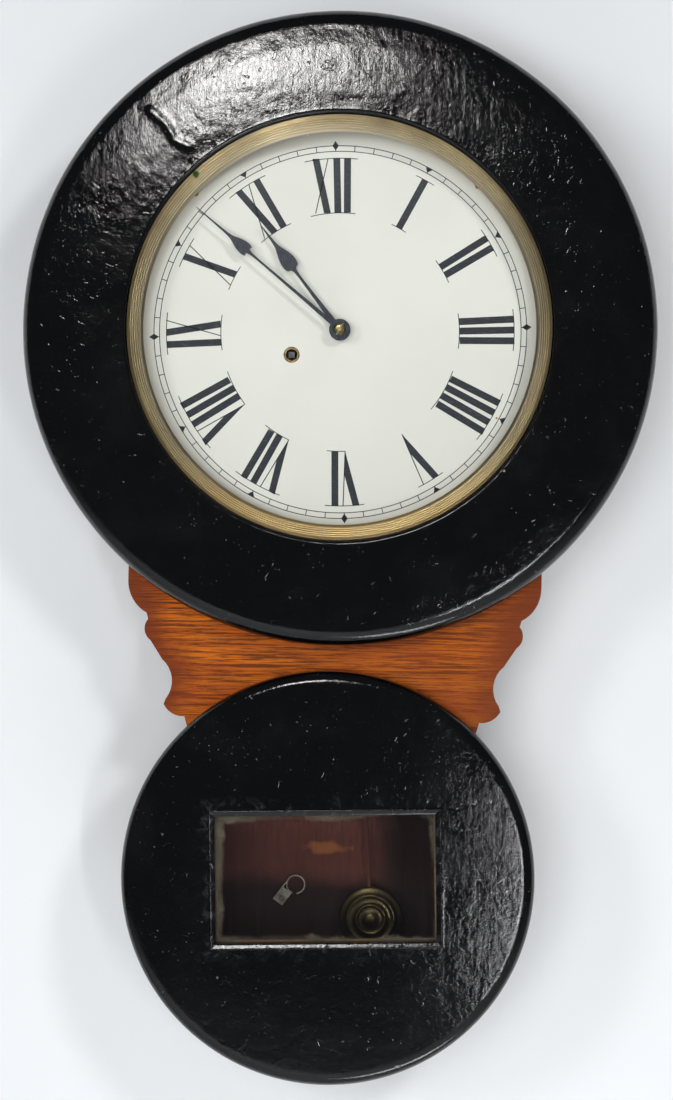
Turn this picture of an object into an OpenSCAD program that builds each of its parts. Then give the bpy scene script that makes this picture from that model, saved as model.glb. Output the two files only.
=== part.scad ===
// Schoolhouse wall clock with a round ring door over the dial and a round lower door with a window.
// The wall is the plane y = 0, the front faces -Y, and the origin is on the wall behind the hands.
// Front-view shapes are drawn as x (right) and z (up). Depths are distances forward from the wall.

/* [Doors] */
// Radius of the upper ring door
upper_door_r = 236; // [225:1:245]
// Radius of the lower door
lower_door_r = 153.5; // [148:0.5:158]
// Drop from the hand axis to the centre of the lower door
lower_drop = 408; // [402:1:414]
// Roundness of the doors' outer edges
edge_round = 13; // [8:1:16]
// Width of the window's sight opening
window_w = 163; // [140:1:170]
// Height of the window's sight opening
window_h = 94; // [80:1:100]
// Turn of the window in the lower door, in degrees
window_turn = 2; // [0:0.5:3]

/* [Case] */
// Outer radius of the upper bentwood hoop
upper_hoop_r = 222; // [220:0.5:223]
// Outer radius of the lower bentwood hoop
lower_hoop_r = 143; // [141:0.5:144]
// Thickness of the hoops and of the neck cheeks
hoop_t = 8; // [6:0.5:9]
// Half the outside width of the neck between the hoops
neck_half = 109; // [105:1:112]
// Thickness of the back board
back_t = 14; // [12:1:16]
// Depth from the wall to the front edge of the case
case_depth = 86; // [86:1:88]

/* [Dial and hands] */
// Radius of the painted dial plate
dial_r = 152.4; // [150:0.1:154]
// Length of the minute hand from its axis
minute_len = 141; // [130:1:142]
// Length of the hour hand from its axis
hour_len = 98.6; // [90:0.1:102]
// Minute hand's angle from upright, anticlockwise seen from the front, in degrees
minute_angle = 50.7; // [0:0.1:359]
// Hour hand's angle from upright, anticlockwise seen from the front, in degrees
hour_angle = 38.3; // [0:0.1:359]
// Turn of the dial in its case, anticlockwise seen from the front, in degrees
dial_turn = 2.6; // [0:0.1:4]

/* [Movement] */
// Distance from the crutch pivot and spring to the middle of the pendulum bob
pendulum_len = 512; // [500:1:516]
// Radius of the pendulum bob
bob_r = 25; // [20:1:28]
// How far the pendulum is swung to the right, in degrees
swing = 3.6; // [0:0.1:3.6]
// Teeth of the escape wheel
escape_teeth = 30; // [28:1:32]

/* [Hidden] */
$fn = 96;

// Woodwork depths
hoop_in = upper_hoop_r - hoop_t;
lower_z = -lower_drop;
board_t = 14;
dial_board_back = 74;
dial_board_front = 83;
dial_front = dial_board_front + 1;

// Door depths
door_gap = 0.4;
door_back = case_depth + door_gap;
frame_front = door_back + 14.4;
door_face = door_back + 31;
shell_t = 4;
sight_in = 146;
sight_out = 157.5;
glass_back = door_back + 15.6;
glass_t = 2;
window_rim = 3;
window_out_w = window_w + 2 * window_rim;
window_out_h = window_h + 2 * window_rim;
window_pos = [-1.2, lower_z + 0.3];
hinge_x = 3.5;
hinge_depth = 82.6;
hinge_half = 12;
knuckle_r = 2.2;
pin_r = 0.9;
fit = 0.05;
upper_hinge_z = [-27, 27];
lower_hinge_z = [lower_z - 22, lower_z + 22];

// Movement plates and the depths of what turns between them
plate_back = [38, 40];
plate_front = [70, 72];
plate_corners = [[-66, -50], [40, -50], [40, 66], [-40, 66]];
plate_corner_r = 9;
pillar_r = 3.2;
great_module = 0.9;
second_module = 0.8;
centre_module = 0.65;
third_module = 0.5;
cannon_module = 0.6;
hour_module = 0.576;
great_teeth = 72;
second_teeth = 54;
centre_teeth = 72;
third_teeth = 75;
big_leaves = 12;
small_leaves = 8;
great_pos = [-36, -18.8];
great_gap = (great_teeth + big_leaves) * great_module / 2;
second_gap = (second_teeth + big_leaves) * second_module / 2;
third_gap = (centre_teeth + small_leaves) * centre_module / 2;
escape_gap = (third_teeth + small_leaves) * third_module / 2;
motion_gap = (36 + 12) * cannon_module / 2;
second_pos = meeting([0, 0], second_gap, great_pos, great_gap);
third_pos = third_gap * [cos(60), sin(60)];
escape_pos = [0, third_pos[1] + sqrt(pow(escape_gap, 2) - pow(third_pos[0], 2))];
stud_pos = motion_gap * [cos(-60), sin(-60)];
verge_pos = [0, 62];
verge_r = 1.1;
escape_r = 15;
pivot_r = 0.8;
arbor_r = 1.5;
ratchet_r = 14;
ratchet_teeth = 16;
click_pos = [19, 8];
click_arm = 12;
pendulum_depth = 28;
bob_t = 14;
rod_r = 1.3;

// Hands
hour_hand_depth = [89.5, 90.6];
minute_hand_depth = [93.6, 94.7];

// ---------- helpers ----------

// The point at distance ra from a and rb from b, on the left of the way from a to b.
function meeting(a, ra, b, rb) =
    let (d = norm(b - a), u = (b - a) / d, t = (d * d + ra * ra - rb * rb) / (2 * d))
    a + t * u + sqrt(ra * ra - t * t) * [-u[1], u[0]];

function polar(r, a) = [r * cos(a), r * sin(a)];

function arc(c, r, a0, a1, n = 8) = [for (i = [0:n]) c + polar(r, a0 + (a1 - a0) * i / n)];

function flip(points) = [for (i = [len(points) - 1:-1:0]) [-points[i][0], points[i][1]]];

// A smooth curve through the points, with n steps from each to the next.
function smooth(p, n = 4) = [
    for (i = [0:len(p) - 2], k = [0:n - 1])
        let (t = k / n, a = p[max(i - 1, 0)], b = p[i], c = p[i + 1], d = p[min(i + 2, len(p) - 1)])
        0.5 * (2 * b + (c - a) * t + (2 * a - 5 * b + 4 * c - d) * t * t
            + (3 * b - a - 3 * c + d) * t * t * t),
    p[len(p) - 1]
];

// A front-view outline made solid from one depth to another.
module slab(back, front) {
    rotate([90, 0, 0]) translate([0, 0, back]) linear_extrude(front - back) children();
}

// A profile of radius and depth turned about a line that runs forward from the wall.
module turned(centre = [0, 0]) {
    translate([centre[0], 0, centre[1]]) rotate([90, 0, 0]) rotate_extrude() children();
}

// A straight round rod that runs forward.
module rod(centre, r, back, front) {
    translate([centre[0], 0, centre[1]]) rotate([90, 0, 0])
        translate([0, 0, back]) cylinder(r = r, h = front - back);
}

module tube(centre, r, hole, back, front) {
    difference() {
        rod(centre, r, back, front);
        rod(centre, hole, back - 1, front + 1);
    }
}

module disc2(centre, r) {
    translate(centre) circle(r = r);
}

// A round-headed wood screw that points back, with a slot across its head.
module screw(centre, head, r, length) {
    difference() {
        union() {
            rod(centre, r, head - length, head);
            turned(centre) translate([0, head]) intersection() {
                circle(r = 2 * r);
                square([2 * r, 1.3 * r]);
            }
        }
        translate([centre[0], -head - 1.3 * r, centre[1]])
            cube([5 * r, r, 0.5 * r], center = true);
    }
}

// Teeth are six-sided and a little thin, so that meshed wheels always run with play.
function gear_points(n, m, add, ded, tip, waist, root, phase) = [
    for (i = [0:n - 1], k = [[-ded, -root], [0, -waist], [add, -tip], [add, tip], [0, waist], [-ded, root]])
        let (r = n * m / 2 + k[0] * m)
        polar(r, phase + i * 360 / n + k[1] * 180 / n)
];

module wheel2(n, m, phase) polygon(gear_points(n, m, 1, 1.3, 0.14, 0.42, 0.44, phase));

module pinion2(n, m, phase) polygon(gear_points(n, m, 0.8, 1.4, 0.14, 0.4, 0.32, phase));

// Phase that puts a space of wheel b against a tooth of wheel a, when a's phase is given.
function mesh_phase(way, na, pa, nb) =
    let (u = (way - pa) * na / 360) way + 180 - (0.5 - (u - floor(u))) * 360 / nb;

// A crossed-out wheel body: rim, arms and hub.
module crossed2(n, m, phase, arms, hub_r) {
    root_r = n * m / 2 - 1.3 * m;
    rim_in = root_r - 2.6;
    difference() {
        wheel2(n, m, phase);
        for (i = [0:arms - 1]) intersection() {
            difference() {
                circle(r = rim_in);
                circle(r = hub_r);
            }
            rotate(i * 360 / arms) translate([2, 2]) square(60);
            if (arms > 4) rotate((i + 1) * 360 / arms - 90) translate([2, -60]) square([60, 58]);
        }
    }
}

function way(a, b) = atan2(b[1] - a[1], b[0] - a[0]);

centre_phase = 0;
third_pin_phase = mesh_phase(60, centre_teeth, centre_phase, small_leaves);
third_phase = 0;
escape_pin_phase = mesh_phase(way(third_pos, escape_pos), third_teeth, third_phase, small_leaves);
centre_pin_phase = 0;
second_phase = mesh_phase(way([0, 0], second_pos), big_leaves, centre_pin_phase, second_teeth);
second_pin_phase = 0;
great_phase = mesh_phase(way(second_pos, great_pos), big_leaves, second_pin_phase, great_teeth);
cannon_phase = 0;
minute_phase = mesh_phase(-60, big_leaves, cannon_phase, 36);
minute_pin_phase = 0;
hour_phase = mesh_phase(120, 10, minute_pin_phase, 40);

// ---------- case ----------

module figure_eight2(r_top, r_low, half) {
    circle(r = r_top);
    disc2([0, lower_z], r_low);
    translate([-half, lower_z]) square([2 * half, lower_drop]);
}

module back_board() {
    color("sienna") difference() {
        slab(0, back_t) figure_eight2(upper_hoop_r, lower_hoop_r, neck_half);
        translate([0, 0, hanger_z]) hanger_recess();
        for (p = hanger_holes) rod(p, 1.3, -1, 10);
    }
}

hanger_z = 186;
hanger_w = 44;
hanger_h = 50;
hanger_t = 2;
key_hole_r = 6;
key_slot_r = 2.6;
hanger_holes = [[-14, hanger_z], [14, hanger_z]];

module hanger_recess() {
    translate([-hanger_w / 2, -hanger_t, -hanger_h / 2]) cube([hanger_w, hanger_t + 1, hanger_h]);
    rod([0, -6], key_hole_r + 3, -1, 9);
    translate([-6, -9, -6]) cube([12, 10, 24]);
}

module hanger_plate() {
    color("gray") difference() {
        translate([-hanger_w / 2 + 0.2, -hanger_t, hanger_z - hanger_h / 2 + 0.2])
            cube([hanger_w - 0.4, hanger_t, hanger_h - 0.4]);
        rod([0, hanger_z - 6], key_hole_r, -1, 4);
        slab(-1, 4) translate([-key_slot_r, hanger_z - 6]) square([2 * key_slot_r, 18]);
        rod([0, hanger_z + 12], key_slot_r, -1, 4);
        for (p = hanger_holes) rod(p, 1.6, -1, 4);
    }
}

// The two flat-headed screws go forward into the back board.
module hanger_screws() {
    color("silver") for (p = hanger_holes) turned(p)
        polygon([[0, 0], [1.55, 0], [1.55, 2], [1.25, 2.4], [1.25, 9.6], [0, 9.9]]);
}

// A bentwood hoop, open where the neck joins it.
module hoop(centre, r, side) {
    difference() {
        tube(centre, r, r - hoop_t, back_t, case_depth);
        slab(back_t - 1, case_depth + 1) translate([hoop_t - neck_half, centre[1]])
            mirror([0, side > 0 ? 0 : 1]) square([2 * (neck_half - hoop_t), r + 5]);
    }
}

module upper_hoop() { color("saddlebrown") hoop([0, 0], upper_hoop_r, -1); }

module lower_hoop() { color("saddlebrown") hoop([0, lower_z], lower_hoop_r, 1); }

// Straight sides of the neck, cut to fit against both hoops.
cheek_foot = lower_z + 80;
cheek_top = -80;

module neck_cheeks() {
    color("saddlebrown") difference() {
        for (side = [0, 1]) mirror([side, 0, 0]) slab(back_t, case_depth - board_t)
            translate([neck_half - hoop_t, cheek_foot]) square([hoop_t, cheek_top - cheek_foot]);
        rod([0, 0], upper_hoop_r, 0, 100);
        rod([0, lower_z], lower_hoop_r, 0, 100);
    }
}

// Half outline of the waist board: two lobes, a cove and a small pointed foot.
ear_right = concat(
    [[100, -150], [152, -150], [155, -180]],
    arc([128, -191], 27, 0, -62),
    arc([131, -226.5], 11, 40, -55),
    arc([142, -266], 21.5, 130, 218),
    [[126.4, -283.2]],
    arc([112, -276], 16, -32, -95),
    [[100, -330]]
);

module waist_board() {
    color("chocolate") difference() {
        slab(case_depth - board_t, case_depth) polygon(concat(ear_right, flip(ear_right)));
        rod([0, 0], upper_hoop_r, 0, 100);
        rod([0, lower_z], lower_hoop_r, 0, 100);
    }
}

// Blocks inside the hoop that the dial board rests on, and four that carry the movement.
dial_block_angles = [15, 75, 135, 180, 228, 312];

module glue_blocks() {
    color("burlywood") {
        intersection() {
            for (a = dial_block_angles) rotate([0, -a, 0])
                translate([hoop_in - 16, -dial_board_back, -14]) cube([18, 22, 28]);
            rod([0, 0], hoop_in, 0, 100);
        }
        for (p = block_screws) translate([p[0] - 8, -plate_back[0], p[1] - 8])
            cube([16, plate_back[0] - back_t, 16]);
    }
}

// A plain paper sheet pasted inside the lower case, wider than the window's view of it.
label_w = 192;
label_h = 118;
label_foot = lower_z - 62;
label_t = 0.4;

module case_label() {
    color("rosybrown") slab(back_t, back_t + label_t)
        translate([-label_w / 2, label_foot]) square([label_w, label_h]);
}

// A steel strip rolled into an open loop, whose tail runs back to the board.
clip_pos = [-26.7, -425.3];
clip_r = 7.4;
clip_w = 5;
clip_t = 0.8;
clip_foot = [-38, -441];

module key_clip() {
    loop_front = back_t + 6.2;
    color("gray") {
        difference() {
            rod(clip_pos, clip_r, loop_front - clip_w, loop_front);
            rod(clip_pos, clip_r - clip_t, 0, 100);
            slab(0, 100) translate(clip_pos) rotate(-112) square([20, 3.4]);
        }
        tail_a = way(clip_pos, clip_foot);
        slab(back_t + label_t, loop_front) translate(clip_pos) rotate(tail_a)
            translate([1, -clip_r]) square([14, clip_t]);
        difference() {
            slab(back_t + label_t, back_t + 1.4) translate(clip_pos) rotate(tail_a)
                translate([8, -clip_r]) square([12, 9]);
            rod(clip_hole, 1.3, 0, 100);
        }
    }
}

clip_hole = clip_pos + polar(15.6, way(clip_pos, clip_foot) - 7);

module key_clip_screw() {
    color("silver") screw(clip_hole, back_t + 1.4, 1.2, 8);
}

// ---------- dial ----------

module dial_board() {
    color("burlywood") difference() {
        tube([0, 0], hoop_in - 0.5, 120, dial_board_back, dial_board_front);
        for (a = dial_screw_angles) rod(polar(dial_screw_r, a), 0.9, dial_board_back + 1, 100);
    }
}

dial_screw_angles = [for (a = [45:90:315]) a + dial_turn];
dial_screw_r = 149.3;
nail_hole = polar(134.6, -30.6 + dial_turn);

module dial_plate() {
    color("ivory") difference() {
        rod([0, 0], dial_r, dial_board_front, dial_front);
        rod([0, 0], 6.5, 0, 100);
        rod(great_pos, 5, 0, 100);
        rod(nail_hole, 0.9, 0, 100);
        for (a = dial_screw_angles) rod(polar(dial_screw_r, a), 1.1, 0, 100);
    }
}

module dial_screws() {
    color("tan") for (a = dial_screw_angles) screw(polar(dial_screw_r, a), dial_front, 0.9, 7);
}

module winding_grommet() {
    color("goldenrod") turned(great_pos) polygon([
        [4.4, dial_board_front - 0.6], [4.95, dial_board_front - 0.6], [4.95, dial_front],
        [6, dial_front], [6, dial_front + 0.3], [5.3, dial_front + 0.9], [4.4, dial_front + 0.9]
    ]);
}

// ---------- movement frame ----------

module back_plate() {
    color("darkgoldenrod") difference() {
        slab(plate_back[0], plate_back[1]) plate_outline2();
        for (p = [great_pos, [0, 0]]) rod(p, 2.1, 0, 100);
        for (p = [second_pos, third_pos, escape_pos]) rod(p, pivot_r + fit, 0, 100);
        rod(verge_pos, verge_r + fit, 0, 100);
        for (p = plate_corners) rod(p, 1.9, 0, 100);
        for (p = block_screws) rod(p, 1.6, 0, 100);
    }
}

module front_plate() {
    color("darkgoldenrod") difference() {
        slab(plate_front[0], plate_front[1]) difference() {
            plate_outline2();
            translate([-44, 24]) square([26, 34]);
            translate([16, -46]) square([20, 30]);
        }
        rod(great_pos, 3.6, 0, 100);
        rod([0, 0], arbor_r + fit, 0, 100);
        for (p = [second_pos, third_pos, escape_pos, verge_pos]) rod(p, pivot_r + fit, 0, 100);
        for (p = plate_corners) rod(p, 1.9, 0, 100);
        rod(stud_pos, 1.2, 0, 100);
    }
}

// A slanted plate outline with round corners, from its four corner pillars.
module plate_outline2() {
    n = len(plate_corners);
    polygon([for (i = [0:n - 1])
        let (c = plate_corners[i],
            before = plate_corners[(i + n - 1) % n],
            after = plate_corners[(i + 1) % n],
            a0 = way(before, c) - 90, turn = way(c, after) - 90 - a0, a1 = turn < 0 ? turn + 360 : turn)
        each arc(c, plate_corner_r, a0, a0 + a1, 8)]);
}

block_screws = [[-56, -42], [34, -40], [46, 60], [-46, 60]];

module movement_screws() {
    color("silver") for (p = block_screws) screw(p, plate_back[1], 1.5, 16);
}

module pillars() {
    color("silver") for (p = plate_corners) {
        rod(p, pillar_r, plate_back[1], plate_front[0]);
        rod(p, 1.85, plate_back[0], plate_back[1]);
        rod(p, 1.85, plate_front[0], plate_front[1] + 4);
    }
}

module pillar_nuts() {
    color("silver") for (p = plate_corners) difference() {
        translate([p[0], -plate_front[1], p[1]]) rotate([90, 0, 0]) cylinder(r = 4.2, h = 2.6, $fn = 6);
        rod(p, 1.85, 0, 100);
    }
}

// ---------- train ----------

// The open coil spring ends in a straight tail and a loop round the lower left pillar.
spring_turns = 6;
spring_in = 6.5;
spring_out = 27.5;
spring_t = 1;

module mainspring() {
    steps = spring_turns * 20;
    loop_a = way(great_pos, plate_corners[0]);
    function coil(grow) = [for (i = [0:steps]) let (f = i / steps)
        polar(spring_in + grow + (spring_out - spring_in) * f, loop_a - 50 - 360 * spring_turns * (1 - f))];
    tail = plate_corners[0] - great_pos + polar(pillar_r + 0.9, loop_a - 80);
    inside = coil(0);
    outside = coil(spring_t);
    color("slategray") {
        slab(45, 61) translate(great_pos) polygon(concat(inside, [tail],
            [tail + polar(spring_t, loop_a - 80)], [for (i = [steps:-1:0]) outside[i]]));
        tube(plate_corners[0], pillar_r + 1.4, pillar_r + 0.3, 45, 61);
    }
}

// One arbor with its pivots, stepped to fit the plates.
module arbor(p, r) {
    rod(p, r, plate_back[1] + 0.4, plate_front[0] - 0.4);
    rod(p, pivot_r, plate_back[0] + 0.2, plate_back[1] + 0.6);
    rod(p, pivot_r, plate_front[0] - 0.6, plate_front[1] - 0.2);
}

module great_wheel() {
    color("goldenrod") {
        difference() {
            slab(64.5, 66.5) translate(great_pos) crossed2(great_teeth, great_module, great_phase, 4, 22);
            rod(great_pos, 3 + fit, 0, 100);
        }
        rod(great_pos + click_pos, 1.4, 61.4, 64.5);
    }
}

// The ratchet turns with the square-ended arbor and leans on the click.
module winding_arbor() {
    color("silver") {
        rod(great_pos, 2, plate_back[0] + 0.2, 43);
        rod(great_pos, 4.6, 43, 61.6);
        rod(great_pos, 3, 61.6, plate_front[0] - 0.6);
        rod(great_pos, 3.5, plate_front[0] - 0.6, plate_front[1] + 1);
        translate([great_pos[0], -77, great_pos[1]]) cube([4.4, 10, 4.4], center = true);
        slab(61.6, 64.2) translate(great_pos) polygon([for (i = [0:ratchet_teeth - 1], k = [1, 0])
            polar(k == 0 ? ratchet_r : ratchet_r - 2.4, (i - 0.1 * k) * 360 / ratchet_teeth)]);
    }
}

// The click turns on a stud of the great wheel, with its nose at the ratchet.
click_at = great_pos + click_pos;

module click() {
    color("silver") difference() {
        slab(61.6, 64.2) translate(click_at) union() {
            circle(r = 3);
            rotate(158) polygon([[-1, -2.8], [click_arm, -1.5], [click_arm, 0.7], [0, 2.9]]);
        }
        rod(click_at, 1.4 + fit, 0, 100);
        rod(great_pos, ratchet_r + 0.35, 0, 100);
    }
}

// A flat spring from a stud on the great wheel leans towards the back of the click.
spring_stud = polar(20.5, 75);
spring_end = [17.4, 12.9];

module click_spring() {
    color("slategray") {
        slab(62, 63.6) translate(great_pos)
            polygon([spring_stud, spring_end, spring_end + [0.3, 0.5], spring_stud + [0.3, 0.6]]);
        rod(great_pos + spring_stud, 1.2, 61.8, 64.5);
    }
}

module second_wheel() {
    color("goldenrod") {
        slab(41.5, 43) translate(second_pos) crossed2(second_teeth, second_module, second_phase, 4, 6);
        slab(63.4, 67.4) translate(second_pos) pinion2(big_leaves, great_module, second_pin_phase);
        arbor(second_pos, arbor_r);
    }
}

// The centre arbor runs through the front plate and carries the cannon pinion and the hand.
module centre_wheel() {
    color("goldenrod") {
        slab(68, 69.2) crossed2(centre_teeth, centre_module, centre_phase, 4, 6);
        slab(40.8, 46) pinion2(big_leaves, second_module, centre_pin_phase);
        rod([0, 0], 2.4, 46, 68);
        rod([0, 0], 2.05, plate_back[0] + 0.2, 41);
        difference() {
            rod([0, 0], arbor_r, 69, 98.9);
            cross_pin(0.62);
        }
    }
}

module cannon_pinion() {
    color("goldenrod") difference() {
        union() {
            slab(73.5, 77.6) pinion2(big_leaves, cannon_module, cannon_phase);
            rod([0, 0], 2.4, 72.6, minute_hand_depth[0]);
            translate([0, -minute_hand_depth[0] - 0.5, 0]) cube([3.6, 1.2, 3.6], center = true);
        }
        rod([0, 0], arbor_r + 0.02, 0, 100);
    }
}

module third_wheel() {
    color("goldenrod") {
        slab(48, 49.2) translate(third_pos) crossed2(third_teeth, third_module, third_phase, 4, 5);
        slab(67, 69.6) translate(third_pos) pinion2(small_leaves, centre_module, third_pin_phase);
        arbor(third_pos, 1.2);
    }
}

// Escape teeth are thin and pointed, and lean back.
module escape_wheel() {
    color("goldenrod") {
        slab(58, 59.2) translate(escape_pos) difference() {
            polygon([for (i = [0:escape_teeth - 1],
                k = [[11.6, -0.3], [escape_r, 0.11], [escape_r, 0.19], [11.6, 0.3]])
                polar(k[0], (i + k[1]) * 360 / escape_teeth)]);
            for (a = [0:90:270]) rotate(a) intersection() {
                difference() {
                    circle(r = 9.6);
                    circle(r = 4);
                }
                translate([1.2, 1.2]) square(20);
            }
        }
        slab(46.6, 50.6) translate(escape_pos) pinion2(small_leaves, third_module, escape_pin_phase);
        arbor(escape_pos, 1.1);
    }
}

module minute_wheel() {
    color("goldenrod") difference() {
        union() {
            slab(74.6, 75.8) translate(stud_pos) wheel2(36, cannon_module, minute_phase);
            slab(75.8, 80.6) translate(stud_pos) pinion2(10, hour_module, minute_pin_phase);
        }
        rod(stud_pos, 1.2 + fit, 0, 100);
    }
}

module minute_stud() {
    color("silver") {
        rod(stud_pos, 1.2, plate_front[0] + 0.4, 81);
        rod(stud_pos, 2.2, plate_front[1], 74);
        rod(stud_pos, 1.9, 81, 81.8);
    }
}

module hour_wheel() {
    color("goldenrod") difference() {
        union() {
            slab(78.2, 79.4) wheel2(40, hour_module, hour_phase);
            rod([0, 0], 3.3, 78.2, hour_hand_depth[1] + 0.3);
        }
        rod([0, 0], 2.4 + fit, 0, 100);
    }
}

// ---------- hands ----------

// A slim spade hand: round boss, waisted stem, drop-shaped spade and a fine point.
function hand_side(boss_r, stem, spade_from, spade_at, spade_w, spade_to, tip) =
    let (start = asin(stem / boss_r))
    concat(
        arc([0, 0], boss_r, 180, start, 12),
        smooth([[boss_r + 6, stem * 0.9], [spade_from * 0.6, stem * 0.62], [spade_from, stem * 0.62],
            [spade_from + (spade_at - spade_from) * 0.45, spade_w * 0.82], [spade_at, spade_w],
            [spade_at + (spade_to - spade_at) * 0.3, spade_w * 0.8],
            [spade_at + (spade_to - spade_at) * 0.65, spade_w * 0.3], [spade_to, 0.9]], 4),
        [[tip, 0.25]]
    );

module hand2(side, angle) {
    rotate(90 + angle) polygon(concat(side, [for (i = [len(side) - 1:-1:0]) [side[i][0], -side[i][1]]]));
}

minute_side = hand_side(8, 1.7, 87, 93.5, 4.95, 114, minute_len);
hour_side = hand_side(8, 2.1, 55, 63, 5.75, 86, hour_len);

module minute_hand() {
    color("midnightblue") difference() {
        slab(minute_hand_depth[0], minute_hand_depth[1]) hand2(minute_side, minute_angle);
        translate([0, -94, 0]) cube([3.64, 4, 3.64], center = true);
    }
}

module hour_hand() {
    color("midnightblue") difference() {
        slab(hour_hand_depth[0], hour_hand_depth[1]) hand2(hour_side, hour_angle);
        rod([0, 0], 3.3, 0, 100);
    }
}

module hand_collet() {
    color("goldenrod") difference() {
        turned() translate([0, minute_hand_depth[1]])
            polygon([[1.52, 0], [4.8, 0], [4.6, 0.7], [3.2, 2.1], [1.52, 2.3]]);
        rod([0, 0], arbor_r + 0.02, 0, 100);
    }
}

// A straight pin through the arbor keeps the collet and the minute hand on.
module cross_pin(r) {
    translate([0, -97.6, 0]) rotate([0, 30, 0]) translate([0, 0, -5.2]) cylinder(r = r, h = 10.4);
}

module hand_pin() {
    color("silver") cross_pin(0.6);
}

// ---------- escapement and pendulum ----------

// The anchor, its arbor and the crutch wire are one riveted piece.
module verge() {
    color("silver") swung() {
        slab(57.6, 59.6) translate(verge_pos) difference() {
            union() {
                circle(r = 3.4);
                polygon([[-2, -1.5], [-17.2, -10.6], [-18.2, -14.6], [-15.4, -11.4], [0, -4.6],
                    [15.4, -11.4], [18.2, -14.6], [17.2, -10.6], [2, -1.5], [0, 3]]);
            }
            translate(escape_pos - verge_pos) circle(r = escape_r + 1.8);
        }
        rod(verge_pos, verge_r, 34.4, plate_front[0] - 0.4);
        rod(verge_pos, pivot_r, plate_front[0] - 0.6, plate_front[1] - 0.2);
        crutch();
    }
}

// The crutch hangs behind the back plate and loops round the pendulum rod.
crutch_drop = 40;
crutch_loop = 3;

module crutch() {
    translate([verge_pos[0] - 0.9, -36.2, verge_pos[1] - crutch_drop]) cube([1.8, 1.8, crutch_drop]);
    translate([0, 0, verge_pos[1] - crutch_drop]) {
        translate([-crutch_loop, -36.2, -1]) cube([2 * crutch_loop, 1.8, 1.8]);
        for (side = [-1, 1]) translate([side * (crutch_loop - 0.6) - 0.6, -36.2, -1])
            cube([1.2, 12.4, 1.8]);
        translate([-crutch_loop, -25, -1]) cube([2 * crutch_loop, 1.2, 1.8]);
    }
}

// Everything that hangs from the suspension is turned to the swing angle about its pivot.
module swung() {
    translate([verge_pos[0], 0, verge_pos[1]]) rotate([0, -swing, 0])
        translate([-verge_pos[0], 0, -verge_pos[1]]) children();
}

module suspension_cock() {
    color("darkgoldenrod") difference() {
        union() {
            translate([-5, -plate_back[0], verge_pos[1] + 6]) cube([10, plate_back[0] - 23, 6]);
            translate([-5, -plate_back[0], verge_pos[1] + 6]) cube([10, 2.4, 16]);
        }
        translate([-0.7, -pendulum_depth - 3.6, verge_pos[1] + 5]) cube([1.4, 7.2, 4.2]);
    }
}

module suspension_spring() {
    color("slategray") swung()
        translate([-0.1, -pendulum_depth - 2.6, verge_pos[1] - 8]) cube([0.2, 5.2, 16]);
}

module pendulum_rod() {
    rod_top = verge_pos[1] - 7;
    color("darkgoldenrod") swung() {
        difference() {
            translate([-1.6, -pendulum_depth - 3, rod_top - 6]) cube([3.2, 6, 6]);
            translate([-0.1, -pendulum_depth - 2.6, rod_top - 1]) cube([0.2, 5.2, 2]);
        }
        translate([0, -pendulum_depth, verge_pos[1] - pendulum_len - bob_r - 8])
            cylinder(r = rod_r, h = pendulum_len + bob_r + 8 - 12);
    }
}

// A lens of spun brass with a raised ring, bored for the rod.
module pendulum_bob() {
    half = bob_t / 2;
    color("goldenrod") swung() difference() {
        turned([0, verge_pos[1] - pendulum_len]) translate([0, pendulum_depth]) polygon([[0, -half],
            [8, -half], [16, -half + 1.4], [bob_r - 1, -2], [bob_r, -1], [bob_r, 1], [bob_r - 1, 2],
            [20, 3.2], [18.5, 4.6], [16.5, 4.8], [14, 4.2], [12.4, 5.2], [9, 6.2],
            [7, 6], [3.6, half], [0, half]]);
        translate([0, -pendulum_depth, verge_pos[1] - pendulum_len - bob_r - 1])
            cylinder(r = rod_r + fit, h = 2 * bob_r + 2);
    }
}

module rating_nut() {
    color("goldenrod") swung() translate([0, -pendulum_depth, verge_pos[1] - pendulum_len - bob_r - 4.4])
        difference() {
            cylinder(r = 4.2, h = 4);
            translate([0, 0, -1]) cylinder(r = rod_r, h = 8);
        }
}

// ---------- upper door ----------

module upper_door_frame() {
    color("sienna") difference() {
        tube([0, 0], upper_door_r - 9, 162, door_back, frame_front);
        for (z = upper_hinge_z) leaf_mortise(upper_hoop_r, z);
    }
}

dial_glass_r = 158.5;

// Section of the moulded ring: rounded rim, gently domed face and an inner roll.
module ring_section2() {
    polygon(concat(
        [[upper_door_r - shell_t, door_back], [upper_door_r, door_back]],
        arc([upper_door_r - edge_round, door_face - edge_round - 2], edge_round, 0, 84, 8),
        [[205, door_face - 0.5], [190, door_face], [176, door_face - 0.3], [168, door_face - 1.2]],
        arc([163.6, door_face - 8.2], 6, 60, 180, 8),
        [[157.6, glass_back + glass_t + 0.4], [162, glass_back + glass_t + 0.4],
            [166, frame_front + 3], [180, frame_front + 6], [214, frame_front + 5],
            [upper_door_r - 9, frame_front], [upper_door_r - shell_t, frame_front - 2]]
    ));
}

module upper_door_shell() {
    color("black") turned() ring_section2();
}

// The reeded brass ring slopes in to the dial and holds the glass from the front.
sight_reeds = 5;

module sight_ring() {
    glass_front = glass_back + glass_t;
    rise = 9.5;
    reed = [0, 0.7, 0.5];
    slope = [for (i = [0:sight_reeds * 3]) let (f = i / (sight_reeds * 3), bump = reed[i % 3])
        [sight_in + (sight_out - 1 - sight_in) * f, glass_front + 1.4 + rise * f + bump]];
    color("goldenrod") turned() polygon(concat(
        [[sight_in + 0.4, glass_front], [sight_out, glass_front], [sight_out, glass_front + rise + 1.6]],
        [for (i = [len(slope) - 1:-1:0]) slope[i]]
    ));
}

module dial_glass() {
    color("lightblue") rod([0, 0], dial_glass_r, glass_back, glass_back + glass_t);
}

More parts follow.
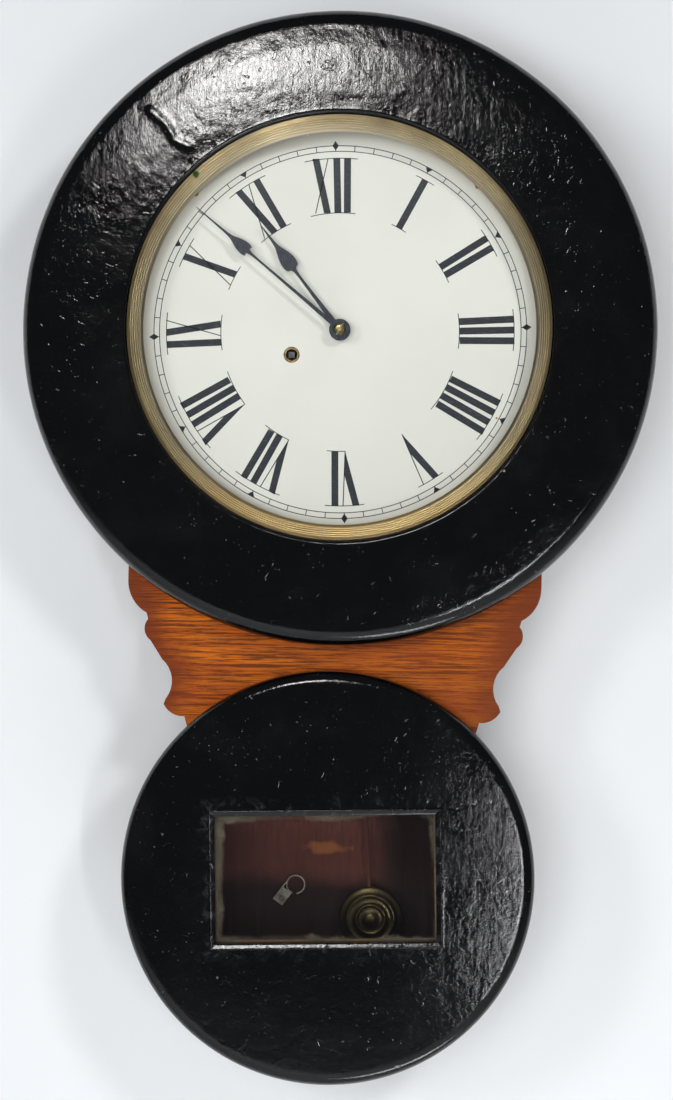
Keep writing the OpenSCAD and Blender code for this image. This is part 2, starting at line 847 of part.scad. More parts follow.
// Small sprung clips behind the glass, held on the frame's inner edge.
module glass_clips() {
    color("gray") for (a = [30, 150, 210, 330]) rotate([0, -a, 0])
        translate([152, -glass_back, -5]) cube([13.4, 1.2, 10]);
}

// ---------- lower door ----------

module window2(w, h) {
    translate(window_pos) rotate(window_turn) square([w, h], center = true);
}

module lower_door_frame() {
    color("sienna") difference() {
        rod([0, lower_z], lower_door_r - 9, door_back, frame_front);
        slab(0, 200) window2(window_out_w + 6, window_out_h + 6);
        for (z = lower_hinge_z) leaf_mortise(lower_hoop_r, z);
    }
}

module lower_door_shell() {
    color("black") difference() {
        turned([0, lower_z]) polygon(concat(
            [[0, frame_front], [lower_door_r - 9, frame_front], [lower_door_r - shell_t, frame_front - 2],
                [lower_door_r - shell_t, door_back], [lower_door_r, door_back]],
            arc([lower_door_r - edge_round, door_face - edge_round - 4], edge_round, 0, 80, 8),
            [[125, door_face - 2.6], [100, door_face - 1.2], [60, door_face - 0.2], [0, door_face]]
        ));
        slab(0, 200) window2(window_out_w, window_out_h);
        for (z = lower_hinge_z) leaf_mortise(lower_hoop_r, z);
    }
}

// A thin stepped moulding that lines the window and holds its glass from the front.
module window_moulding() {
    color("dimgray") {
        difference() {
            slab(door_face - 10, door_face + 0.6) window2(window_out_w, window_out_h);
            slab(0, 200) window2(window_w, window_h);
        }
    }
}

module window_glass() {
    color("lightblue") slab(door_face - 12.2, door_face - 10) window2(window_out_w - 1, window_out_h - 1);
}

module window_beads() {
    color("burlywood") difference() {
        slab(frame_front + 2, door_face - 12.2) window2(window_out_w, window_out_h);
        slab(0, 200) window2(window_w - 2, window_h - 2);
    }
}

// ---------- hinges, hooks ----------

module leaf_mortise(r, z) {
    translate([-r - 6, -door_back - 1.6, z - hinge_half]) cube([20, 2, 2 * hinge_half]);
}

// Case leaves are cast to the curve of the hoop. The outer thirds of each knuckle are theirs.
module case_leaf(centre_z, r, z) {
    difference() {
        union() {
            translate([-r - hinge_x - 0.8, -hinge_depth + 1.2, z - hinge_half])
                cube([hinge_x + 8, 18, 2 * hinge_half]);
            knuckle(r, z + hinge_half, z - hinge_half);
        }
        rod([0, centre_z], r, 0, 200, $fn = 400);
        translate([-r - hinge_x - 4, -hinge_depth - 3, z - 4.2]) cube([8, 9, 8.4]);
        translate([-r - hinge_x, -hinge_depth, z - 20]) cylinder(r = pin_r, h = 40);
    }
}

module knuckle(r, top, bottom) {
    translate([-r - hinge_x, -hinge_depth, bottom]) cylinder(r = knuckle_r, h = top - bottom);
}

module door_leaf(r, z) {
    difference() {
        union() {
            knuckle(r, z + 4, z - 4);
            translate([-r - hinge_x - 1, -door_back - 1.2, z - 4])
                cube([2, door_back - hinge_depth + 1.2, 8]);
            translate([-r - hinge_x - 1, -door_back - 1.2, z - hinge_half + 0.3])
                cube([14, 1.2, 2 * hinge_half - 0.6]);
        }
        translate([-r - hinge_x, -hinge_depth, z - 20]) cylinder(r = pin_r + fit, h = 40);
    }
}

module case_hinges() {
    color("darkgoldenrod") {
        for (z = upper_hinge_z) case_leaf(0, upper_hoop_r, z);
        for (z = lower_hinge_z) case_leaf(lower_z, lower_hoop_r, z);
    }
}

module upper_door_fittings() {
    color("darkgoldenrod") {
        for (z = upper_hinge_z) door_leaf(upper_hoop_r, z);
        catch_pin(upper_hoop_r, 0);
    }
}

module lower_door_fittings() {
    color("darkgoldenrod") {
        for (z = lower_hinge_z) door_leaf(lower_hoop_r, z);
        catch_pin(lower_hoop_r, lower_z);
    }
}

module hinge_pins() {
    color("silver") {
        for (z = upper_hinge_z) translate([-upper_hoop_r - hinge_x, -hinge_depth, z - hinge_half])
            cylinder(r = pin_r, h = 2 * hinge_half);
        for (z = lower_hinge_z) translate([-lower_hoop_r - hinge_x, -hinge_depth, z - hinge_half])
            cylinder(r = pin_r, h = 2 * hinge_half);
    }
}

// Each hook hangs beside its hoop, and swings forward and up to hold its door's catch pin.
hook_len = 34;
hook_depth = 60;
hook_t = 1.6;
upper_hook_out = 5;
lower_hook_out = 2.2;

module catch_pin(r, z) {
    translate([r - 1, -hook_depth - hook_len + 4.4, z + 3]) rotate([0, 90, 0]) cylinder(r = 1, h = 9);
}

module hook(x, z) {
    color("darkgoldenrod") translate([x, -hook_depth, z]) difference() {
        union() {
            rotate([0, 90, 0]) cylinder(r = 3, h = hook_t);
            translate([0, -1.2, -hook_len]) cube([hook_t, 2.4, hook_len]);
            translate([0, -4.6, -hook_len]) cube([hook_t, 4.6, 2.2]);
        }
        translate([-1, 0, 0]) rotate([0, 90, 0]) cylinder(r = 1.2 + fit, h = 5);
    }
}

module upper_hook() { hook(upper_hoop_r + upper_hook_out, 0); }

module lower_hook() { hook(lower_hoop_r + lower_hook_out, lower_z); }

module hook_screws() {
    color("darkgoldenrod")
        for (s = [[upper_hoop_r, 0, upper_hook_out], [lower_hoop_r, lower_z, lower_hook_out]])
            translate([s[0], -hook_depth, s[1]]) rotate([0, 90, 0]) {
                translate([0, 0, -6]) cylinder(r = 1.2, h = s[2] + hook_t + 7);
                translate([0, 0, -0.4]) cylinder(r = 2.4, h = s[2]);
                translate([0, 0, s[2] + hook_t + 0.3]) cylinder(r = 2.4, h = 1.2);
            }
}

back_board();
upper_hoop();
lower_hoop();
neck_cheeks();
waist_board();
glue_blocks();
hanger_plate();
hanger_screws();
case_label();
key_clip();
key_clip_screw();
dial_board();
dial_plate();
dial_screws();
winding_grommet();
movement_screws();
back_plate();
front_plate();
pillars();
pillar_nuts();
mainspring();
great_wheel();
click();
click_spring();
winding_arbor();
second_wheel();
centre_wheel();
cannon_pinion();
minute_hand();
hand_collet();
hand_pin();
third_wheel();
escape_wheel();
minute_wheel();
minute_stud();
hour_wheel();
hour_hand();
verge();
suspension_cock();
suspension_spring();
pendulum_rod();
pendulum_bob();
rating_nut();
upper_door_frame();
upper_door_shell();
sight_ring();
dial_glass();
glass_clips();
lower_door_frame();
lower_door_shell();
window_moulding();
window_glass();
window_beads();
case_hinges();
upper_door_fittings();
lower_door_fittings();
hinge_pins();
upper_hook();
lower_hook();
hook_screws();
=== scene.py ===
"""Looks of a schoolhouse wall clock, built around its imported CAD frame. Lengths are in metres.

The wall is the plane y = 0, the front faces -Y, and the origin is on the wall behind the hands.
A depth is a distance forward from the wall, so it is -y.
"""

import math

import bmesh
import bpy
from mathutils import Matrix, Vector, noise


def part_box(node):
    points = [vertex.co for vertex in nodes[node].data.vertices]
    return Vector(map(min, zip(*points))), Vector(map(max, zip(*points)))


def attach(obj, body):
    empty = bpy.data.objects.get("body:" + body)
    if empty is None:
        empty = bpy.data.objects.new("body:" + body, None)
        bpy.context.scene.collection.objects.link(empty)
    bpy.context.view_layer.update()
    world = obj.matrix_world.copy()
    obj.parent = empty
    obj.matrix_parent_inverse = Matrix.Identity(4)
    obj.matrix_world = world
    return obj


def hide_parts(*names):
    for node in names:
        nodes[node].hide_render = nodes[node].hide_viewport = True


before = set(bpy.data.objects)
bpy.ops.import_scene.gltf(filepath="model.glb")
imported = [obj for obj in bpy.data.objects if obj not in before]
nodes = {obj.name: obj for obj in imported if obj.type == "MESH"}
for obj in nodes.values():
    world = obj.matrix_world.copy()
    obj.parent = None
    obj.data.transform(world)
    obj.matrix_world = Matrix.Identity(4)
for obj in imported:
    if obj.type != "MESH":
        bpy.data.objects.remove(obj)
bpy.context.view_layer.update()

MM = 0.001
TAU = 2 * math.pi

# The upper door's black ring and the lower door's black disc. A nose is the radius of a rounded
# outer edge, and SHELL is how thick both are at the back.
ring_low, ring_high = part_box("upper_door_shell")
disc_low, disc_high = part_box("lower_door_shell")
RING_R = (ring_high[0] - ring_low[0]) / 2
RING_NOSE = 13 * MM
DISC_R = (disc_high[0] - disc_low[0]) / 2
DISC_NOSE = 9 * MM
DISC_Z = (disc_high[2] + disc_low[2]) / 2
SHELL = 4 * MM
DOOR_BACK = -ring_high[1]
DOOR_FACE = -ring_low[1]

# The dial, and the brass ring and glass in front of it.
DIAL_FRONT = -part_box("dial_plate")[0][1]
DIAL_TURN = math.radians(2.6)
GLASS_FRONT = -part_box("dial_glass")[0][1]
SIGHT_IN = 146 * MM
SIGHT_OUT = 157.5 * MM

# The lower door's window, turned a little like the dial.
WINDOW_TURN = math.radians(2.0)
WINDOW_X = -1.2 * MM
WINDOW_Z = DISC_Z + 0.3 * MM
WINDOW_W = 163 * MM
WINDOW_H = 94 * MM
WINDOW_RIM = 3 * MM

# The wall and floor.
FLOOR_Z = -1.5
FLOOR_FRONT = -5.0
WALL_Y = 2 * MM
WALL_SIDE = 4.0
WALL_TOP = 3.0


def placed(name, data):
    """A new object for a mesh, light or camera, linked to the scene."""
    thing = bpy.data.objects.new(name, data)
    bpy.context.collection.objects.link(thing)
    return thing


def new_mesh(name, verts, faces):
    mesh = bpy.data.meshes.new(name)
    mesh.from_pydata(verts, [], faces)
    return mesh


# ---------- camera, lights and stage ----------

def add_camera():
    """A camera square on from near the middle, with the clock leaning a little.

    The picture is view_height high at the depth called plane.
    """
    distance = 1.8
    view_height = 0.8169
    lean = math.radians(1.25)
    plane = DOOR_BACK + 17 * MM
    aim = Vector((0.0014, -plane, -0.1647))
    eye = Vector((0.0447, -plane - distance, -0.1676))
    ahead = (aim - eye).normalized()
    right = ahead.cross(Vector((-math.sin(lean), 0, math.cos(lean)))).normalized()
    up = right.cross(ahead)
    data = bpy.data.cameras.new("camera")
    data.sensor_fit = "VERTICAL"
    data.sensor_height = 36
    data.lens = data.sensor_height * distance / view_height
    camera = placed("camera", data)
    turn = Matrix((right, up, -ahead)).transposed().to_4x4()
    camera.matrix_world = Matrix.Translation(eye) @ turn
    bpy.context.scene.camera = camera


def add_light(name, place, target, width, height, power, colour=(1, 1, 1), mirrored=True, lit=True):
    """An area light. Not mirrored, it shows in no gloss; not lit, it shows in nothing else."""
    data = bpy.data.lights.new(name, "AREA")
    data.shape = "RECTANGLE"
    data.size = width
    data.size_y = height
    data.energy = power
    data.color = colour
    light = placed(name, data)
    light.location = place
    light.rotation_euler = (Vector(target) - Vector(place)).to_track_quat("-Z", "Y").to_euler()
    light.visible_glossy = mirrored
    light.visible_diffuse = lit
    light.visible_camera = False


def add_lights():
    """Three lights that the lacquer mirrors, and three washes that it doesn't.

    The key, above and left of the camera, shows in reflections only. The last light stands
    behind the wall, and reaches the back board through the wall's hole.
    """
    add_light("key_softbox", (-0.222, -2.0, 0.625), (-0.06, 0, 0.1), 0.24, 0.30, 8.5,
              (1.0, 0.99, 0.97), lit=False)
    add_light("low_right_softbox", (0.50, -1.7, -0.68), (0.1, 0, -0.4), 0.05, 0.55, 4.6,
              (0.97, 0.98, 1.0))
    add_light("floor_bounce", (0.25, -0.5, -1.1), (0, -0.06, -0.3), 0.40, 0.12, 1.3)
    add_light("upper_right_light", (1.25, -2.4, 1.0), (-1.2, 0, 0.2), 0.4, 0.4, 22, mirrored=False)
    add_light("front_fill", (-0.45, -3.0, -0.15), (-0.05, 0, -0.12), 1.4, 1.4, 40, mirrored=False)
    add_light("left_wash", (-1.7, -2.2, 0.4), (0, 0, -0.1), 0.5, 0.9, 16,
              (0.96, 0.98, 1.0), mirrored=False)
    add_light("back_light", (-0.9, 1.9, 0.7), (0, 0, -0.15), 0.9, 0.9, 26)
    world = bpy.data.worlds.new("studio")
    world.use_nodes = True
    back = world.node_tree.nodes["Background"]
    back.inputs["Color"].default_value = (0.93, 0.96, 1.0, 1)
    back.inputs["Strength"].default_value = 0.08
    scene = bpy.context.scene
    scene.world = world
    scene.view_settings.view_transform = "Standard"


def floor_piece():
    corners = [(-WALL_SIDE, FLOOR_FRONT, FLOOR_Z), (WALL_SIDE, FLOOR_FRONT, FLOOR_Z),
               (WALL_SIDE, WALL_Y, FLOOR_Z), (-WALL_SIDE, WALL_Y, FLOOR_Z)]
    return placed("floor", new_mesh("floor", corners, [(0, 1, 2, 3)]))


def wall_piece():
    """The wall, with a hole behind the case that lets light reach the back board.

    The hole is two circles a little inside the case, joined by a neck between the angles, in
    degrees, at which each circle stops.
    """
    upper_r, upper_stop = 220 * MM, 60.9
    lower_r, lower_stop = 141 * MM, 139.4
    hole = arc((0, 0), upper_r, -upper_stop, 180 + upper_stop, 48)
    hole += arc((0, DISC_Z), lower_r, lower_stop, 540 - lower_stop, 40)
    work = bmesh.new()
    edges = []
    border = [(-WALL_SIDE, FLOOR_Z), (WALL_SIDE, FLOOR_Z),
              (WALL_SIDE, WALL_TOP), (-WALL_SIDE, WALL_TOP)]
    for outline in (border, hole):
        verts = [work.verts.new((x, WALL_Y, z)) for x, z in outline]
        edges += [work.edges.new((a, b)) for a, b in zip(verts, verts[1:] + verts[:1])]
    bmesh.ops.triangle_fill(work, edges=edges, use_beauty=True, normal=(0, -1, 0))
    work.normal_update()
    for face in work.faces:
        if face.normal.y > 0:
            face.normal_flip()
    mesh = bpy.data.meshes.new("wall")
    work.to_mesh(mesh)
    work.free()
    return placed("wall", mesh)


def add_stage():
    """A pale wall that can only be seen from the front, and a pale floor below."""
    wall = wall_piece()
    floor = floor_piece()
    paint = Paint("wall_paint", roughness=0.9)
    paint.colour(paint.mix(paint.noise(1.3), (0.78, 0.80, 0.82), (0.81, 0.83, 0.845)))
    geometry = paint.add("ShaderNodeNewGeometry")
    clear = paint.add("ShaderNodeBsdfTransparent")
    blend = paint.add("ShaderNodeMixShader")
    paint.link(geometry.outputs["Backfacing"], blend.inputs[0])
    paint.link(paint.shader.outputs[0], blend.inputs[1])
    paint.link(clear.outputs[0], blend.inputs[2])
    paint.link(blend.outputs[0], paint.output.inputs[0])
    wall.data.materials.append(paint.material)
    ground = Paint("floor_paint", roughness=0.8)
    ground.colour(ground.mix(ground.noise(2.0), (0.74, 0.75, 0.76), (0.79, 0.80, 0.81)))
    floor.data.materials.append(ground.material)


# ---------- materials ----------

class Paint:
    """A node material with short ways to add noise, masks, mixes and bump."""

    def __init__(self, name, roughness=0.5, metallic=0.0):
        self.material = bpy.data.materials.new(name)
        self.material.use_nodes = True
        self.tree = self.material.node_tree
        self.shader = self.tree.nodes["Principled BSDF"]
        self.output = self.tree.nodes["Material Output"]
        self.shader.inputs["Roughness"].default_value = roughness
        self.shader.inputs["Metallic"].default_value = metallic
        self.place = self.add("ShaderNodeTexCoord").outputs["Object"]

    def add(self, kind, **settings):
        node = self.tree.nodes.new(kind)
        for key, value in settings.items():
            setattr(node, key, value)
        return node

    def link(self, source, target):
        self.tree.links.new(source, target)

    def feed(self, socket, value):
        """Links a socket to another, or sets it to a plain value."""
        if isinstance(value, bpy.types.NodeSocket):
            self.link(value, socket)
        elif isinstance(value, tuple) and len(value) == 3 and len(socket.default_value) == 4:
            socket.default_value = (*value, 1)
        else:
            socket.default_value = value

    def mapped(self, stretch=(1, 1, 1), shift=(0, 0, 0), turn=(0, 0, 0)):
        """Places scaled, moved and turned. A pattern comes out shorter where the scale is large."""
        node = self.add("ShaderNodeMapping")
        self.link(self.place, node.inputs["Vector"])
        node.inputs["Scale"].default_value = stretch
        node.inputs["Location"].default_value = shift
        node.inputs["Rotation"].default_value = turn
        return node.outputs[0]

    def noise(self, scale, detail=4.0, rough=0.55, warp=0.0, where=None):
        node = self.add("ShaderNodeTexNoise")
        self.link(where or self.place, node.inputs["Vector"])
        node.inputs["Scale"].default_value = scale
        node.inputs["Detail"].default_value = detail
        node.inputs["Roughness"].default_value = rough
        node.inputs["Distortion"].default_value = warp
        return node.outputs["Fac"]

    def math(self, what, a, b=0.0):
        node = self.add("ShaderNodeMath", operation=what)
        for socket, value in zip(node.inputs, (a, b)):
            self.feed(socket, value)
        return node.outputs[0]

    def step(self, value, low, high, to_low=0.0, to_high=1.0):
        """A smooth step from to_low at low to to_high at high."""
        node = self.add("ShaderNodeMapRange", interpolation_type="SMOOTHSTEP")
        self.feed(node.inputs["Value"], value)
        node.inputs["From Min"].default_value = low
        node.inputs["From Max"].default_value = high
        node.inputs["To Min"].default_value = to_low
        node.inputs["To Max"].default_value = to_high
        return node.outputs[0]

    def mix(self, share, a, b):
        node = self.add("ShaderNodeMix", data_type="RGBA")
        self.feed(node.inputs[0], share)
        self.feed(node.inputs[6], a)
        self.feed(node.inputs[7], b)
        return node.outputs[2]

    def axis(self, name, where=None):
        node = self.add("ShaderNodeSeparateXYZ")
        self.link(where or self.place, node.inputs[0])
        return node.outputs[name]

    def away(self, point, squash=(1, 0, 1)):
        """Distance from a point, seen from the front unless squashed otherwise."""
        spot = self.add("ShaderNodeVectorMath", operation="SUBTRACT")
        self.link(self.place, spot.inputs[0])
        spot.inputs[1].default_value = point
        squashed = self.add("ShaderNodeVectorMath", operation="MULTIPLY")
        self.link(spot.outputs[0], squashed.inputs[0])
        squashed.inputs[1].default_value = squash
        length = self.add("ShaderNodeVectorMath", operation="LENGTH")
        self.link(squashed.outputs[0], length.inputs[0])
        return length.outputs["Value"]

    def colour(self, value):
        self.feed(self.shader.inputs["Base Color"], value)

    def roughness(self, value):
        self.feed(self.shader.inputs["Roughness"], value)

    def bump(self, height, depth, strength):
        """Adds bump on top of what is there: a height from 0 to 1 over a depth."""
        node = self.add("ShaderNodeBump")
        node.inputs["Strength"].default_value = strength
        node.inputs["Distance"].default_value = depth
        before = self.shader.inputs["Normal"]
        if before.is_linked:
            self.link(before.links[0].from_socket, node.inputs["Normal"])
        self.link(height, node.inputs["Height"])
        self.link(node.outputs[0], before)


def window_frame_place(paint):
    """Places in the window's own turned frame, from its middle."""
    moved = paint.mapped(shift=(-WINDOW_X, 0, -WINDOW_Z))
    turned = paint.add("ShaderNodeVectorRotate", rotation_type="Y_AXIS")
    paint.link(moved, turned.inputs["Vector"])
    turned.inputs["Angle"].default_value = WINDOW_TURN
    return turned.outputs[0]


def inside_window(paint, place):
    """Distance in from the window's nearest edge, less than nothing outside it."""
    side = paint.math("SUBTRACT", WINDOW_W / 2, paint.math("ABSOLUTE", paint.axis("X", place)))
    height = paint.math("SUBTRACT", WINDOW_H / 2, paint.math("ABSOLUTE", paint.axis("Z", place)))
    return paint.math("MINIMUM", side, height)


def black_lacquer():
    """Papier-mache under old gloss black: crinkled, dusty, and worn to brown at the rims."""
    paint = Paint("black_lacquer")
    dusty = paint.step(paint.noise(16, 5, 0.6, 0.4), 0.45, 0.8)
    base = paint.mix(dusty, (0.0016, 0.0017, 0.0020), (0.0045, 0.0047, 0.0052))
    brush = paint.noise(5, 6, 0.6, 0.3, paint.mapped((9, 9, 60)))
    base = paint.mix(paint.step(brush, 0.58, 0.85, 0, 0.5), base, (0.0065, 0.0065, 0.007))
    specks = paint.step(paint.noise(420, 2, 0.5), 0.71, 0.75)
    patches = paint.step(paint.noise(11, 3), 0.42, 0.60)
    base = paint.mix(paint.math("MULTIPLY", specks, patches), base, (0.13, 0.13, 0.14))
    scratch = paint.noise(30, 3, 0.5, 0.2, paint.mapped((18, 18, 1.2), turn=(0, 0.4, 0)))
    base = paint.mix(paint.step(scratch, 0.76, 0.80, 0, 0.35), base, (0.12, 0.12, 0.13))
    near = paint.step(inside_window(paint, window_frame_place(paint)), -17 * MM, -5 * MM)
    rubbed = paint.step(paint.noise(95, 5, 0.75, 0.4), 0.50, 0.66, 0, 0.5)
    base = paint.mix(paint.math("MULTIPLY", near, rubbed), base, (0.040, 0.041, 0.045))
    depth = paint.math("MULTIPLY", paint.axis("Y"), -1.0)
    edge = paint.step(depth, DOOR_BACK + 5 * MM, DOOR_BACK)
    worn = paint.math("MULTIPLY", edge, paint.step(paint.noise(22, 5, 0.7), 0.44, 0.6))
    paint.colour(paint.mix(worn, base, (0.085, 0.034, 0.014)))
    paint.roughness(paint.step(paint.noise(28, 5, 0.6), 0.3, 0.75, 0.06, 0.13))
    lumps = paint.noise(75, 3, 0.55, 0.6)
    crinkle = paint.noise(270, 5, 0.66, 0.9, paint.mapped((1.15, 1, 0.8)))
    pits = paint.step(paint.noise(130, 2, 0.5, 0.3), 0.30, 0.36)
    grain = paint.noise(700, 2, 0.5)
    runs = paint.noise(42, 5, 0.7, 0.6, paint.mapped((6, 1, 0.7)))
    paint.bump(runs, 0.22 * MM, 0.36)
    paint.bump(lumps, 0.5 * MM, 0.32)
    paint.bump(crinkle, 0.16 * MM, 0.62)
    paint.bump(pits, 0.2 * MM, 0.4)
    paint.bump(grain, 0.05 * MM, 0.4)
    return paint.material


def bent_place(paint, along, centre_z, joint_way):
    """Places round a hoop: along it from opposite its joint, then its depth and its radius."""
    x = paint.axis("X")
    z = paint.math("SUBTRACT", paint.axis("Z"), centre_z)
    squares = paint.math("ADD", paint.math("POWER", x, 2), paint.math("POWER", z, 2))
    radius = paint.math("SQRT", squares)
    turn = paint.math("ARCTAN2", x, paint.math("MULTIPLY", z, joint_way))
    place = paint.add("ShaderNodeCombineXYZ")
    paint.link(paint.math("MULTIPLY", turn, 0.2 * along[0]), place.inputs["X"])
    paint.link(paint.math("MULTIPLY", paint.axis("Y"), along[1]), place.inputs["Y"])
    paint.link(paint.math("MULTIPLY", radius, along[2]), place.inputs["Z"])
    return place.outputs[0]


def varnished_wood(name, pale, deep, dark, along, red_edge=None, gloss=0.26, bent=None):
    """Long-grained wood: pores and dark bands that run the way that along is small."""
    paint = Paint(name)
    paint.shader.inputs["Specular IOR Level"].default_value = 0.18
    grain_place = bent_place(paint, along, *bent) if bent else paint.mapped(along)
    bands = paint.noise(3.2, 6, 0.62, 1.2, grain_place)
    fine = paint.noise(21, 6, 0.74, 0.4, grain_place)
    pores = paint.noise(60, 4, 0.65, 0.2, grain_place)
    base = paint.mix(paint.step(bands, 0.34, 0.66), deep, pale)
    base = paint.mix(paint.step(fine, 0.47, 0.58, 0, 0.85), base, dark)
    base = paint.mix(paint.step(pores, 0.525, 0.61, 0, 0.75), base, tuple(0.4 * c for c in dark))
    if red_edge:
        base = paint.mix(paint.step(paint.noise(9, 3), 0.35, 0.75, 0, 0.6), base, red_edge)
        side = paint.math("ABSOLUTE", paint.axis("X"))
        side = paint.math("ADD", side, paint.math("MULTIPLY", paint.noise(26, 4, 0.6), 45 * MM))
        high = paint.math("MULTIPLY", paint.step(paint.axis("Z"), -270 * MM, -190 * MM), 20 * MM)
        edge = paint.step(paint.math("SUBTRACT", side, high), 118 * MM, 152 * MM, 0, 0.85)
        base = paint.mix(edge, base, tuple(0.5 * c for c in red_edge))
        # Painted shade: the board is darkened towards its right side.
        painted_shade_right = paint.step(paint.axis("X"), 0, 110 * MM, 0, 0.3)
        base = paint.mix(painted_shade_right, base, tuple(0.4 * c for c in deep))
    paint.colour(base)
    paint.roughness(paint.step(fine, 0.3, 0.7, gloss, gloss + 0.16))
    paint.bump(fine, 0.25 * MM, 0.5)
    paint.bump(pores, 0.12 * MM, 0.6)
    return paint.material


def raw_wood():
    """Unvarnished softwood with its grain along X."""
    paint = Paint("raw_wood", roughness=0.75)
    place = paint.mapped((1.4, 20, 20))
    rings = paint.noise(5, 5, 0.6, 0.8, place)
    paint.colour(paint.mix(paint.step(rings, 0.35, 0.65), (0.36, 0.22, 0.11), (0.52, 0.36, 0.21)))
    paint.bump(rings, 0.3 * MM, 0.4)
    return paint.material


def metal(name, bright, dull, rough, spun_about, stain, verdigris=None, inner=None):
    """Metal with tarnish, fine scratches and, where turned, fine rings about its axis.

    An inner is a colour, and the radii between which it fades out. Such a ring also gets a
    painted highlight, brightest at its foot.
    """
    paint = Paint(name, metallic=1.0)
    tarnish = paint.noise(stain, 6, 0.65, 0.5)
    base = paint.mix(paint.step(tarnish, 0.38, 0.68), bright, dull)
    fine = paint.noise(700, 2, 0.5)
    if spun_about is not None:
        rings = paint.add("ShaderNodeTexNoise", noise_dimensions="1D")
        paint.link(paint.away(spun_about), rings.inputs["W"])
        rings.inputs["Scale"].default_value = 2600
        fine = rings.outputs["Fac"]
    if inner:
        tint, start, end = inner
        base = paint.mix(paint.step(paint.away(spun_about), start, end, 0.8, 0), base, tint)
        # Painted highlight: the ring's bottom is made brighter gold, standing in for light falling
        # from above.
        painted_highlight_foot = paint.step(paint.axis("Z"), -80 * MM, -150 * MM, 0, 0.85)
        base = paint.mix(painted_highlight_foot, base, (0.98, 0.72, 0.34))
    base = paint.mix(paint.step(fine, 0.35, 0.8, 0, 0.35), base, dull)
    if verdigris:
        ragged = paint.math("MULTIPLY", paint.noise(300), 3 * MM)
        spot = paint.math("ADD", paint.away(verdigris), ragged)
        base = paint.mix(paint.step(spot, 4.6 * MM, 3.2 * MM), base, (0.035, 0.10, 0.02))
    paint.colour(base)
    paint.roughness(paint.step(tarnish, 0.3, 0.75, rough, rough + 0.2))
    paint.bump(fine, 0.03 * MM, 0.5)
    return paint.material


def dial_paint():
    """Cream paint on zinc, a little mottled, with yellowish stains, and darker and yellower near
    the edge.
    """
    paint = Paint("dial_paint", roughness=0.42)
    cloud = paint.noise(9, 4, 0.55)
    base = paint.mix(paint.step(cloud, 0.35, 0.7), (0.765, 0.755, 0.695), (0.815, 0.805, 0.75))
    stain = paint.step(paint.noise(38, 5, 0.7, 0.6), 0.66, 0.78, 0, 0.4)
    base = paint.mix(stain, base, (0.66, 0.60, 0.47))
    flecks = paint.step(paint.noise(520, 2), 0.77, 0.80, 0, 0.5)
    base = paint.mix(flecks, base, (0.30, 0.27, 0.22))
    rim = paint.step(paint.away((0, 0, 0)), 138 * MM, 149 * MM, 0, 0.5)
    paint.colour(paint.mix(rim, base, (0.60, 0.56, 0.46)))
    paint.bump(paint.noise(120, 4), 0.06 * MM, 0.4)
    return paint.material


def dial_ink():
    """Blue-black printing, rubbed thin in streaks, with a painted glare that lightens it towards
    the top.
    """
    paint = Paint("dial_ink", roughness=0.5)
    streak = paint.noise(60, 4, 0.7, 0.3, paint.mapped((3, 3, 14), turn=(0, 0.5, 0)))
    base = paint.mix(paint.step(streak, 0.5, 0.75), (0.017, 0.021, 0.028), (0.070, 0.086, 0.105))
    # Painted reflection: the ink is lightened towards the top of the dial, standing in for glare on
    # the glass.
    painted_glare_top = paint.step(paint.axis("Z"), 70 * MM, 120 * MM, 0, 0.4)
    paint.colour(paint.mix(painted_glare_top, base, (0.055, 0.064, 0.075)))
    return paint.material


def blued_steel():
    """Blued steel gone grey-black, with brushing along the hand."""
    paint = Paint("blued_steel", metallic=0.75)
    brush = paint.noise(70, 4, 0.6, 0.2, paint.mapped((14, 14, 2), turn=(0, 0.72, 0)))
    base = paint.mix(paint.step(brush, 0.35, 0.7), (0.030, 0.034, 0.044), (0.085, 0.09, 0.105))
    rust = paint.step(paint.noise(230, 3), 0.68, 0.76, 0, 0.6)
    paint.colour(paint.mix(rust, base, (0.06, 0.028, 0.014)))
    paint.roughness(paint.step(brush, 0.3, 0.7, 0.34, 0.5))
    paint.bump(brush, 0.03 * MM, 0.6)
    return paint.material


